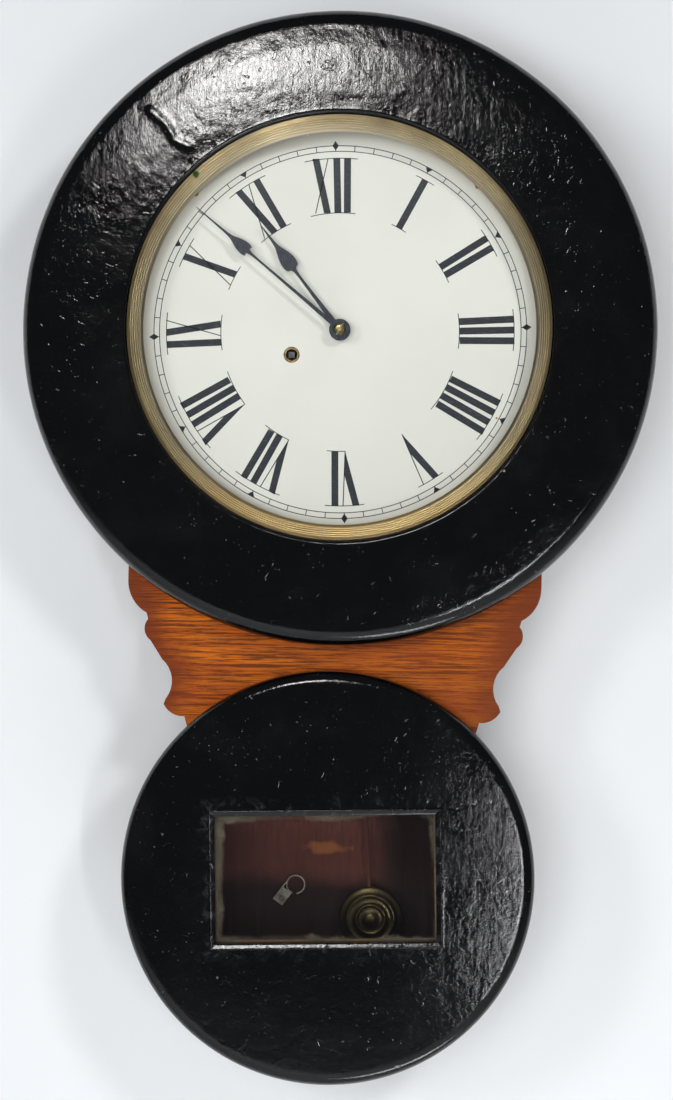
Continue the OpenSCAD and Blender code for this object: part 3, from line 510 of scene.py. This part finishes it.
def clear_glass(name, dirty):
    """Thin old glass. The window's glass is hazed with dirt, thickest round its edges."""
    paint = Paint(name, roughness=0.04)
    paint.colour((0.02, 0.02, 0.02))
    mirror = paint.add("ShaderNodeFresnel")
    mirror.inputs["IOR"].default_value = 1.5
    front = paint.math("SUBTRACT", 1.0, paint.add("ShaderNodeNewGeometry").outputs["Backfacing"])
    clear = paint.add("ShaderNodeBsdfTransparent")
    tint = (0.95, 0.94, 0.92) if dirty else (0.985, 0.99, 0.985)
    clear.inputs["Color"].default_value = (*tint, 1)
    pane = paint.add("ShaderNodeMixShader")
    paint.link(paint.math("MULTIPLY", mirror.outputs[0], front), pane.inputs[0])
    paint.link(clear.outputs[0], pane.inputs[1])
    paint.link(paint.shader.outputs[0], pane.inputs[2])
    if not dirty:
        paint.link(pane.outputs[0], paint.output.inputs[0])
        return paint.material
    place = window_frame_place(paint)
    inset = inside_window(paint, place)
    ragged = paint.math("MULTIPLY", paint.noise(34, 6, 0.8, 0.5), 14 * MM)
    inset = paint.math("SUBTRACT", inset, ragged)
    left_grime = paint.step(paint.axis("X", place), -40 * MM, 10 * MM, 2 * MM, 0)
    inset = paint.math("SUBTRACT", inset, left_grime)
    haze = paint.step(inset, -0.5 * MM, -8 * MM, 0, 0.8)
    haze = paint.math("MULTIPLY", haze, paint.step(paint.noise(17, 3, 0.6), 0.42, 0.60, 0.35, 1))
    smears = paint.noise(30, 5, 0.65, 0.4, paint.mapped((9, 9, 0.7)))
    film = paint.step(smears, 0.4, 0.8, 0.06, 0.16)
    dirt = paint.math("MAXIMUM", haze, film)
    dust = paint.step(paint.noise(600, 2), 0.70, 0.78, 0, 0.4)
    dirt = paint.math("MAXIMUM", dirt, dust)
    grime = paint.add("ShaderNodeBsdfDiffuse")
    tone = paint.mix(paint.noise(90), (0.060, 0.053, 0.038), (0.170, 0.150, 0.110))
    tone = paint.mix(paint.step(haze, 0.1, 0.4), (0.030, 0.027, 0.032), tone)
    paint.link(tone, grime.inputs["Color"])
    total = paint.add("ShaderNodeMixShader")
    paint.link(dirt, total.inputs[0])
    paint.link(pane.outputs[0], total.inputs[1])
    paint.link(grime.outputs[0], total.inputs[2])
    paint.link(total.outputs[0], paint.output.inputs[0])
    return paint.material


def rusty_wire():
    """Thin wire browned all over with rust."""
    paint = Paint("rusty_wire", roughness=0.7)
    paint.colour(paint.mix(paint.noise(90), (0.07, 0.028, 0.022), (0.18, 0.075, 0.055)))
    return paint.material


def lining_paper():
    """Old red-brown paper with faint upright streaks, dark at the bottom and on the right, with a
    painted orange reflection near the middle.
    """
    paint = Paint("lining_paper", roughness=0.85)
    streak = paint.noise(26, 5, 0.7, 0.3, paint.mapped((16, 16, 2.0)))
    mottle = paint.noise(26, 4, 0.6)
    base = paint.mix(paint.step(streak, 0.35, 0.7), (0.19, 0.064, 0.056), (0.30, 0.126, 0.108))
    base = paint.mix(paint.step(mottle, 0.4, 0.7, 0, 0.6), base, (0.11, 0.034, 0.033))
    # Painted reflection: a small bright orange spot on the paper, standing in for a reflection seen
    # through the window.
    painted_reflection_spot = paint.away((-4 * MM, 0, -397 * MM), (0.3, 0, 1))
    painted_reflection_spot = paint.math("ADD", painted_reflection_spot, paint.math("MULTIPLY", paint.noise(90), 14 * MM))
    lower_half = paint.step(paint.axis("Z"), -372 * MM, -396 * MM, 0, 0.8)
    base = paint.mix(lower_half, base, (0.13, 0.047, 0.038))
    base = paint.mix(paint.step(painted_reflection_spot, 13 * MM, 8 * MM, 0, 0.5), base, (0.62, 0.23, 0.07))
    stray = paint.math("MULTIPLY", paint.noise(30, 4, 0.6), 22 * MM)
    low = paint.step(paint.math("ADD", paint.axis("Z"), stray), -400 * MM, -420 * MM, 0, 0.97)
    right = paint.step(paint.math("ADD", paint.axis("X"), stray), 36 * MM, 62 * MM, 0, 0.94)
    dark = paint.math("MAXIMUM", low, right)
    paint.colour(paint.mix(dark, base, (0.016, 0.011, 0.012)))
    paint.bump(streak, 0.15 * MM, 0.4)
    return paint.material


# ---------- mesh helpers ----------

def finish_mesh(name, mesh, material, body, stands_for=(), sharp=35):
    """Merges doubled points, turns faces outwards, shades smooth but for sharp edges, and rides."""
    work = bmesh.new()
    work.from_mesh(mesh)
    bmesh.ops.remove_doubles(work, verts=work.verts, dist=1e-6)
    bmesh.ops.recalc_face_normals(work, faces=work.faces)
    work.to_mesh(mesh)
    work.free()
    for face in mesh.polygons:
        face.use_smooth = True
    mesh.set_sharp_from_angle(angle=math.radians(sharp))
    mesh.materials.append(material)
    piece = placed(name, mesh)
    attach(piece, body)
    if stands_for:
        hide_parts(*stands_for)
    return piece


def arc(centre, radius, start, end, steps):
    """Points along an arc in (radius, depth), angles in degrees from outwards to forwards."""
    points = []
    for i in range(steps + 1):
        a = math.radians(start + (end - start) * i / steps)
        points.append((centre[0] + radius * math.cos(a), centre[1] + radius * math.sin(a)))
    return points


def refine(profile, longest):
    """Splits a profile's long edges, so that relief has points to move."""
    out = []
    for (r0, d0), (r1, d1) in zip(profile, profile[1:]):
        parts = max(1, math.ceil(math.hypot(r1 - r0, d1 - d0) / longest))
        out += [(r0 + (r1 - r0) * i / parts, d0 + (d1 - d0) * i / parts) for i in range(parts)]
    return out + [profile[-1]]


def loop_faces(count, loops, closed=True):
    """Quads between neighbouring sections of count points each, the last joined to the first."""
    faces = []
    for i in range(loops):
        here, there = i * count, ((i + 1) % loops) * count
        for k in range(count if closed else count - 1):
            n = (k + 1) % count
            faces.append((here + k, here + n, there + n, there + k))
    return faces


def lathe(profile, centre, steps, closed=True, relief=None):
    """A mesh of the profile of (radius, depth) points turned about a line along Y.

    A relief gives how far each point moves out from the surface, from its place and its number.
    """
    count = len(profile)
    verts = []
    slopes = []
    for k in range(count):
        before = profile[k - 1] if closed or k else profile[k]
        after = profile[(k + 1) % count] if closed or k < count - 1 else profile[k]
        run, rise = after[0] - before[0], after[1] - before[1]
        size = math.hypot(run, rise) or 1
        slopes.append((-rise / size, run / size))
    for i in range(steps):
        a = TAU * i / steps
        c, s = math.cos(a), math.sin(a)
        for k, (r, d) in enumerate(profile):
            if relief:
                rise = relief(Vector((centre[0] + r * c, -d, centre[1] + r * s)), k)
                r, d = r + slopes[k][0] * rise, d + slopes[k][1] * rise
            verts.append((centre[0] + r * c, -d, centre[1] + r * s))
    return new_mesh("turned", verts, loop_faces(count, steps, closed))


def prisms(outlines, back, front):
    """A mesh of flat front-view outlines, each made solid from one depth to another."""
    verts = []
    faces = []
    for outline in outlines:
        base = len(verts)
        n = len(outline)
        verts += [(x, -back, z) for x, z in outline] + [(x, -front, z) for x, z in outline]
        faces.append([base + i for i in range(n)])
        faces.append([base + n + i for i in reversed(range(n))])
        faces += [(base + i, base + n + i, base + n + (i + 1) % n, base + (i + 1) % n)
                  for i in range(n)]
    return new_mesh("prisms", verts, faces)


# ---------- doors ----------

# Points along a raised fold in the ring's paper at the upper left, in millimetres.
FOLD = [(-143, 157), (-131, 147), (-124, 135), (-114, 131)]
FOLD_RISE = 0.5 * MM
FOLD_HALF_WIDTH = 3.0


def fold_height(x, z):
    """Height of the raised fold at a point of the ring's face."""
    near = math.inf
    for (x0, z0), (x1, z1) in zip(FOLD, FOLD[1:]):
        run, rise = x1 - x0, z1 - z0
        share = ((x / MM - x0) * run + (z / MM - z0) * rise) / (run * run + rise * rise)
        share = min(1.0, max(0.0, share))
        near = min(near, math.hypot(x / MM - x0 - share * run, z / MM - z0 - share * rise))
    return FOLD_RISE * math.exp(-(near / FOLD_HALF_WIDTH) ** 2)


def handmade(p, size=1.0):
    """Relief of hand-laid paper: broad waves, folds and short crinkles, in metres."""
    waves = noise.noise(p * 13) * 0.36 * MM
    folds = (0.5 - abs(noise.noise(p * 48 + Vector((3, 1, 7))))) * 0.11 * MM
    short = noise.noise(p * 130) * 0.07 * MM + noise.noise(p * 240) * 0.03 * MM
    return size * (waves + folds + short - 0.2 * MM)


def upper_ring(material):
    """Moulded ring of the upper door: inner roll, gently domed face and a round outer edge."""
    foot = SIGHT_OUT + 0.2 * MM
    lip = GLASS_FRONT + 0.4 * MM
    roll = 3.2 * MM
    face = [(168 * MM, DOOR_FACE - 0.15 * MM), (176 * MM, DOOR_FACE - 0.07 * MM),
            (190 * MM, DOOR_FACE - 0.07 * MM), (208 * MM, DOOR_FACE - 0.4 * MM)]
    outside = [(foot, lip)]
    outside += arc((foot + roll, DOOR_FACE - 0.2 * MM - roll), roll, 180, 82, 10)
    outside += face
    outside += arc((RING_R - RING_NOSE, DOOR_FACE - RING_NOSE - 1.1 * MM), RING_NOSE, 86, 0, 18)
    outside += [(RING_R, DOOR_BACK)]
    outside = refine(outside, 1.7 * MM)
    inside = [(RING_R - SHELL, DOOR_BACK), (RING_R - SHELL, DOOR_BACK + 12.4 * MM),
              (RING_R - 9 * MM, DOOR_BACK + 14.4 * MM), (214 * MM, DOOR_BACK + 19.4 * MM),
              (180 * MM, DOOR_BACK + 20.4 * MM), (166 * MM, DOOR_BACK + 17.4 * MM), (162 * MM, lip)]
    profile = outside + inside
    visible = len(outside)

    def relief(p, k):
        """Paper relief on the face, eased away at its two ends and left out behind."""
        if k >= visible - 3 or k < 2:
            return 0.0
        ease = min(1.0, (k - 1) / 6, (visible - 3 - k) / 8)
        return (handmade(p) + fold_height(p.x, p.z)) * ease

    mesh = lathe(profile, (0, 0), 720, relief=relief)
    return finish_mesh("upper_door_ring", mesh, material, "upper_door",
                       ["upper_door_shell"])


def disc_depth(r):
    """Depth of the lower door's front at a distance r from its middle."""
    flat = DISC_R - DISC_NOSE
    if r <= flat:
        return DOOR_FACE - 3 * MM * (r / flat) ** 2
    centre = DOOR_FACE - 3.1 * MM - DISC_NOSE
    return centre + math.sqrt(max(0.0, DISC_NOSE ** 2 - (r - flat) ** 2))


CORNERS = ((1, 1), (-1, 1), (-1, -1), (1, -1))


def from_window(x, z):
    """A point given in the window's turned frame, from its middle."""
    c, s = math.cos(WINDOW_TURN), math.sin(WINDOW_TURN)
    return WINDOW_X + x * c - z * s, WINDOW_Z + x * s + z * c


def window_edge(a, half_w, half_h):
    """Where the ray at angle a from the window's middle, in its turned frame, meets its edge."""
    c, s = math.cos(a), math.sin(a)
    to_side = half_w / abs(c) if abs(c) > 1e-9 else math.inf
    to_top = half_h / abs(s) if abs(s) > 1e-9 else math.inf
    reach = min(to_side, to_top)
    return from_window(c * reach, s * reach)


def lower_disc(material):
    """Moulded disc of the lower door, with the rectangular hole for its window."""
    half_w = WINDOW_W / 2 + WINDOW_RIM
    half_h = WINDOW_H / 2 + WINDOW_RIM
    spokes = 640
    corner_angles = [math.atan2(sz * half_h, sx * half_w) % TAU for sx, sz in CORNERS]
    angles = sorted([TAU * i / spokes for i in range(spokes)] + corner_angles)
    rows = 46
    shares = [i / rows for i in range(rows + 1)]
    nose_rows = 14
    frame_front = DOOR_BACK + 14.4 * MM
    inner = (DISC_R - SHELL) / DISC_R
    flat = DISC_R - DISC_NOSE
    columns = []
    for a in angles:
        x0, z0 = window_edge(a, half_w, half_h)
        way = a + WINDOW_TURN
        x1, z1 = flat * math.cos(way), DISC_Z + flat * math.sin(way)
        column = [(x0 + (x1 - x0) * t, z0 + (z1 - z0) * t) for t in shares]
        for i in range(1, nose_rows + 1):
            r = flat + DISC_NOSE * math.sin(math.pi / 2 * i / nose_rows)
            column.append((r * math.cos(way), DISC_Z + r * math.sin(way)))
        front = []
        for k, (x, z) in enumerate(column):
            depth = disc_depth(math.hypot(x, z - DISC_Z))
            ease = min(1.0, k / 3, max(0.0, (len(column) - 3 - k)) / 5)
            depth += handmade(Vector((x, -depth, z)), 0.6) * ease
            front.append((x, -depth, z))
        rim_x, rim_z = column[-1]
        ring = [(rim_x, -(DOOR_BACK + rise), rim_z) for rise in (9 * MM, 5 * MM, 2 * MM, 0)]
        inside = [(rim_x * inner, -DOOR_BACK, DISC_Z + (rim_z - DISC_Z) * inner),
                  (rim_x * inner, -frame_front, DISC_Z + (rim_z - DISC_Z) * inner),
                  (x0, -frame_front, z0), (x0, -(frame_front + DOOR_FACE) / 2, z0)]
        columns.append(front + ring + inside)
    mesh = new_mesh("lower_disc", [point for column in columns for point in column],
                    loop_faces(len(columns[0]), len(columns)))
    return finish_mesh("lower_door_disc", mesh, material, "lower_door",
                       ["lower_door_shell"])


def mitred_frame(name, section, half_w, half_h, material, body, stands_for):
    """A section of (offset outwards, depth) points run round the window with mitred corners.

    Extra points just beside each corner keep the mitres from being shaded round.
    """
    ways = ((-1, 0), (0, -1), (1, 0), (0, 1))
    beside = 0.3 * MM
    loops = []
    for i, (sx, sz) in enumerate(CORNERS):
        for step, (way_x, way_z) in ((-beside, ways[i - 1]), (0, ways[i]), (beside, ways[i])):
            loops.append([(sx * (half_w + off) + step * way_x, depth,
                           sz * (half_h + off) + step * way_z) for off, depth in section])
    verts = []
    for loop in loops:
        for x, depth, z in loop:
            across, up = from_window(x, z)
            verts.append((across, -depth, up))
    mesh = new_mesh(name, verts, loop_faces(len(section), len(loops)))
    return finish_mesh(name, mesh, material, body, stands_for, sharp=40)


def window_rim(material):
    """Thin rounded moulding round the window, proud of the door."""
    low = DOOR_FACE - 10 * MM
    top = DOOR_FACE + 0.4 * MM
    section = [(0, low), (0, top - 1.35 * MM), (0.3 * MM, top - 1.1 * MM),
               (1.4 * MM, top - 0.72 * MM), (2.5 * MM, top - 0.38 * MM), (3.3 * MM, top - 0.1 * MM),
               (3.7 * MM, top), (4.1 * MM, top - 0.15 * MM), (4.5 * MM, top - 0.6 * MM),
               (4.7 * MM, top - 1.3 * MM), (4.7 * MM, low)]
    return mitred_frame("window_rim", section, WINDOW_W / 2, WINDOW_H / 2, material, "lower_door",
                        ["window_moulding"])


def reeded_ring(material):
    """Brass sight ring: a plain inner slope, five reeds and a plain outer band."""
    rise = 9.46 * MM
    base = GLASS_FRONT + 1.3 * MM
    span = SIGHT_OUT - 1 * MM - SIGHT_IN
    reeds = 5
    reed_height = 0.55 * MM
    first, last = 0.16, 0.86
    steps = 72
    face = []
    for i in range(steps + 1):
        share = i / steps
        depth = base + rise * share ** 1.15
        if first < share < last:
            depth += reed_height * abs(math.sin(math.pi * reeds * (share - first) / (last - first)))
        face.append((SIGHT_IN + span * share, depth))
    face += [(SIGHT_OUT - 0.4 * MM, face[-1][1] + 0.2 * MM), (SIGHT_OUT, face[-1][1] - 0.4 * MM)]
    profile = [(SIGHT_IN + 0.3 * MM, GLASS_FRONT)] + face + [(SIGHT_OUT, GLASS_FRONT)]
    mesh = lathe(profile, (0, 0), 480)
    return finish_mesh("reeded_sight_ring", mesh, material, "upper_door",
                       ["sight_ring"], sharp=60)


# ---------- dial ----------

NUMERAL_IN = 89.6 * MM
NUMERAL_OUT = 130.6 * MM
TRACK_IN = 135.8 * MM
TRACK_OUT = 140.0 * MM
PRINT_DROP = 1.0 * MM
LINE = 0.62 * MM
LETTER_W = {"I": 7.6 * MM, "V": 13.5 * MM, "X": 15.6 * MM}
# From its left side: a V's tip and the top of its thin stroke, in a longer numeral and alone, and
# the outer and inner end of each stroke of an X.
V_TIP, V_HAIR = 9.0 * MM, 11.6 * MM
LONE_V_TIP, LONE_V_HAIR = 7.2 * MM, 12.6 * MM
X_THICK = (4.7 * MM, 10.9 * MM)
X_HAIR = (13.3 * MM, 1.4 * MM)
# Strokes spread towards the outer line and close in towards the inner one.
SPREAD_OUT = 1.07
SPREAD_IN = 0.93
# How far those two lines overhang a numeral's strokes.
OVERHANG_OUT = 3.6 * MM
OVERHANG_IN = 2.6 * MM
# Each numeral, and how far the printer set it clockwise of its hour, in millimetres.
NUMERALS = [("XII", -3.4), ("I", 1.5), ("II", 1.3), ("III", 1.7), ("IIII", 1.9), ("V", -0.2),
            ("VI", -0.3), ("VII", -0.1), ("VIII", -0.6), ("IX", 2.1), ("X", -2.5), ("XI", -2.4)]


def on_dial(across, out, angle):
    """A point beside the ray at a clockwise angle from the top of the dial."""
    a = angle - DIAL_TURN
    c, s = math.cos(a), math.sin(a)
    return across * c + out * s, -across * s + out * c - PRINT_DROP


def thin_arc(radius, width, start, end):
    """A narrow curved outline between two clockwise angles."""
    steps = 14
    angles = [start + (end - start) * i / steps for i in range(steps + 1)]
    inner = [on_dial(0, radius - width / 2, a) for a in angles]
    outer = [on_dial(0, radius + width / 2, a) for a in angles]
    return inner + outer[::-1]


def stroke(top, bottom, angle, thick):
    """A stroke of a numeral, from the outer line to the inner one."""
    half = thick / 2
    top, bottom = top * SPREAD_OUT, bottom * SPREAD_IN
    return [on_dial(top - half, NUMERAL_OUT, angle), on_dial(top + half, NUMERAL_OUT, angle),
            on_dial(bottom + half, NUMERAL_IN, angle), on_dial(bottom - half, NUMERAL_IN, angle)]


def pointed(left, tip, hair_top, angle, thick):
    """The V's thick stroke, cut off to a point by its thin one."""
    left, hair_top, tip = left * SPREAD_OUT, hair_top * SPREAD_OUT, tip * SPREAD_IN
    meet = (hair_top - left - thick) / (hair_top - left)
    across = left + thick + (tip - left) * meet
    out = NUMERAL_OUT + (NUMERAL_IN - NUMERAL_OUT) * meet
    return [on_dial(left, NUMERAL_OUT, angle), on_dial(left + thick, NUMERAL_OUT, angle),
            on_dial(across, out, angle), on_dial(tip, NUMERAL_IN, angle)]


def numeral(text, shift, angle):
    """Outlines of one numeral's strokes and of the thin lines that join them at both ends."""
    total = sum(LETTER_W[letter] for letter in text)
    thick = 5.2 * MM
    hair = 0.75 * MM
    start = shift * MM - total / 2
    outlines = []
    left = start
    for letter in text:
        w = LETTER_W[letter]
        if letter == "I":
            outlines.append(stroke(left + w / 2, left + w / 2, angle, thick))
        elif letter == "V":
            tip = left + (V_TIP if len(text) > 1 else LONE_V_TIP)
            hair_top = left + (V_HAIR if len(text) > 1 else LONE_V_HAIR)
            outlines.append(pointed(left, tip, hair_top, angle, thick))
            outlines.append(stroke(hair_top, tip, angle, hair))
        else:
            outlines.append(stroke(left + X_THICK[0], left + X_THICK[1], angle, thick))
            outlines.append(stroke(left + X_HAIR[0], left + X_HAIR[1], angle, hair))
        left += w
    outer_start = (start * SPREAD_OUT - OVERHANG_OUT) / NUMERAL_OUT
    outer_end = (left * SPREAD_OUT + OVERHANG_OUT) / NUMERAL_OUT
    outlines.append(thin_arc(NUMERAL_OUT, LINE, angle + outer_start, angle + outer_end))
    inner_start = (start * SPREAD_IN - OVERHANG_IN) / NUMERAL_IN
    inner_end = (left * SPREAD_IN + OVERHANG_IN) / NUMERAL_IN
    if text[0] == "V":
        inner_start = (start + V_TIP) * SPREAD_IN / NUMERAL_IN
    if text != "V":
        outlines.append(thin_arc(NUMERAL_IN, LINE, angle + inner_start, angle + inner_end))
    return outlines


def hour_mark(hour):
    """Diamonds at the quarters, and triangles with their base outwards at the other hours."""
    a = TAU * hour / 12
    if hour % 3 == 0:
        half, tall = 2.4 * MM, 3.7 * MM
        return [on_dial(0, TRACK_OUT + tall, a), on_dial(half, TRACK_OUT, a),
                on_dial(0, TRACK_OUT - tall, a), on_dial(-half, TRACK_OUT, a)]
    half, tall = 3.0 * MM, 3.8 * MM
    return [on_dial(-half, TRACK_OUT, a), on_dial(half, TRACK_OUT, a),
            on_dial(0, TRACK_OUT - tall, a)]


def dial_printing(material):
    """The numerals, the hour marks and the minute track, as a thin raised layer."""
    front = DIAL_FRONT + 0.07 * MM
    figures = []
    for hour, (text, shift) in enumerate(NUMERALS):
        figures += numeral(text, shift, TAU * hour / 12)
    marks = [hour_mark(hour) for hour in range(12)]
    for minute in range(60):
        a = TAU * minute / 60
        marks.append([on_dial(-LINE / 2, TRACK_IN, a), on_dial(LINE / 2, TRACK_IN, a),
                      on_dial(LINE / 2, TRACK_OUT, a), on_dial(-LINE / 2, TRACK_OUT, a)])
    for name, outlines in (("dial_numerals", figures), ("minute_marks", marks)):
        mesh = prisms(outlines, DIAL_FRONT, front)
        finish_mesh(name, mesh, material, "case")
    for name, radius in (("minute_circle_inner", TRACK_IN), ("minute_circle_outer", TRACK_OUT)):
        profile = [(radius - LINE / 2, DIAL_FRONT), (radius - LINE / 2, front),
                   (radius + LINE / 2, front), (radius + LINE / 2, DIAL_FRONT)]
        finish_mesh(name, lathe(profile, (0, -PRINT_DROP), 360), material, "case")


# ---------- small metal pieces ----------

def middle(node):
    """The middle of a CAD node's box."""
    low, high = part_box(node)
    return [(a + b) / 2 for a, b in zip(low, high)]


def spun_bob(material):
    """Brass lens with rolled rings round a raised boss, closed at the back.

    Its profile is in millimetres: radius, then depth forward of the middle.
    """
    x, y, z = middle("pendulum_bob")
    low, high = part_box("pendulum_bob")
    r = (high[0] - low[0]) / 2
    front = [(0, 6.9), (3.0, 6.9), (4.4, 6.3), (6.0, 5.2), (7.6, 4.6), (9.0, 4.7), (9.6, 5.6),
             (10.6, 6.2), (11.7, 6.0), (12.5, 5.0), (13.4, 4.4), (15.2, 4.0), (16.6, 4.2),
             (17.5, 4.8), (18.6, 4.7), (19.4, 3.9), (20.6, 3.1), (22.4, 2.4), (23.9, 1.9),
             (24.7, 1.2), (r / MM, 0.3)]
    back = [(r / MM, -0.8), (24.4, -1.8), (20, -3.6), (14, -5.4), (7, -6.6), (0, -6.9)]
    profile = [(a * MM, -y + b * MM) for a, b in front + back]
    return finish_mesh("spun_bob", lathe(profile, (x, z), 160, closed=False), material, "pendulum",
                       ["pendulum_bob"], sharp=50)


def door_pin(material):
    """Small brass pin in the ring's inner roll, at the lower right."""
    a = math.radians(-39.9)
    r = 161.5 * MM
    top = DOOR_FACE - 1.4 * MM
    profile = [(0, top - 4 * MM), (1.5 * MM, top - 4 * MM), (1.5 * MM, top),
               (1.25 * MM, top + 0.6 * MM), (0.7 * MM, top + 1.0 * MM), (0, top + 1.1 * MM)]
    mesh = lathe(profile, (r * math.cos(a), r * math.sin(a)), 24, closed=False)
    return finish_mesh("door_pin", mesh, material, "upper_door")


# ---------- dressing the CAD nodes ----------

def dress(names, material, bevel=0.0):
    """Gives CAD nodes a material, and their edges a small round if asked."""
    for name in names:
        piece = nodes[name]
        for slot in piece.material_slots:
            slot.material = material
        if bevel:
            rounding = piece.modifiers.new("edge_round", "BEVEL")
            rounding.width = bevel
            rounding.segments = 2
            rounding.limit_method = "ANGLE"
            rounding.angle_limit = math.radians(40)


def build():
    """The camera, lights and stage, then the materials, the new pieces and the CAD nodes' looks."""
    add_camera()
    add_lights()
    add_stage()
    lacquer = black_lacquer()
    waist = varnished_wood("waist_wood", (0.60, 0.155, 0.004), (0.42, 0.083, 0.002),
                           (0.055, 0.011, 0.002), (0.7, 20, 24), red_edge=(0.26, 0.040, 0.008))
    walnut = (0.155, 0.060, 0.022), (0.085, 0.030, 0.011), (0.025, 0.009, 0.004)
    round_hoop = (0.8, 16, 18)
    case = varnished_wood("case_wood", *walnut, (18, 16, 0.8), gloss=0.34)
    upper_bent = varnished_wood("upper_bentwood", *walnut, round_hoop, gloss=0.34, bent=(0, 1))
    lower_bent = varnished_wood("lower_bentwood", *walnut, round_hoop, gloss=0.34,
                                bent=(DISC_Z, -1))
    plain = raw_wood()
    brass = metal("reeded_brass", (0.60, 0.475, 0.26), (0.32, 0.25, 0.14), 0.30, (0, 0, 0), 10,
                  verdigris=(-0.1085, 0, 0.111), inner=((0.60, 0.53, 0.38), SIGHT_IN, 156 * MM))
    bob = metal("bob_brass", (0.36, 0.30, 0.15), (0.15, 0.125, 0.065), 0.28,
                tuple(middle("pendulum_bob")), 40)
    cut_brass = metal("movement_brass", (0.66, 0.50, 0.24), (0.38, 0.25, 0.10), 0.28, None, 22)
    steel = metal("steel", (0.60, 0.59, 0.57), (0.30, 0.28, 0.25), 0.30, None, 60)
    clip = metal("clip_steel", (0.78, 0.76, 0.70), (0.46, 0.44, 0.39), 0.42, None, 60)
    spring = metal("spring_steel", (0.20, 0.21, 0.25), (0.09, 0.085, 0.09), 0.30, None, 50)
    blued = blued_steel()
    ink = dial_ink()

    upper_ring(lacquer)
    lower_disc(lacquer)
    window_rim(lacquer)
    reeded_ring(brass)
    dial_printing(ink)
    spun_bob(bob)
    door_pin(cut_brass)

    dress(["waist_board"], waist, 0.7 * MM)
    dress(["back_board", "neck_cheeks"], case, 0.6 * MM)
    dress(["upper_hoop"], upper_bent, 0.6 * MM)
    dress(["lower_hoop"], lower_bent, 0.6 * MM)
    dress(["upper_door_frame", "lower_door_frame"], case, 0.4 * MM)
    dress(["glue_blocks", "dial_board", "window_beads"], plain, 0.4 * MM)
    dress(["case_label"], lining_paper())
    dress(["dial_plate"], dial_paint())
    dress(["dial_glass"], clear_glass("dial_glass", False))
    dress(["window_glass"], clear_glass("window_glass", True))
    dress(["minute_hand", "hour_hand"], blued, 0.18 * MM)
    dress(["hand_collet", "rating_nut"], bob, 0.2 * MM)
    dress(["hanger_plate"], steel, 0.15 * MM)
    dress(["key_clip"], clip, 0.15 * MM)
    dress(["pendulum_rod"], rusty_wire())
    dress(["hanger_screws", "key_clip_screw", "movement_screws", "pillars", "pillar_nuts", "click",
           "minute_stud", "verge", "hand_pin", "glass_clips", "hinge_pins"], steel)
    dress(["mainspring", "click_spring", "suspension_spring", "winding_arbor"], spring)
    dress(["back_plate", "front_plate", "great_wheel", "second_wheel", "centre_wheel",
           "cannon_pinion", "third_wheel", "escape_wheel", "minute_wheel", "hour_wheel",
           "suspension_cock", "dial_screws", "winding_grommet", "case_hinges",
           "upper_door_fittings", "lower_door_fittings", "upper_hook", "lower_hook",
           "hook_screws"], cut_brass)


build()
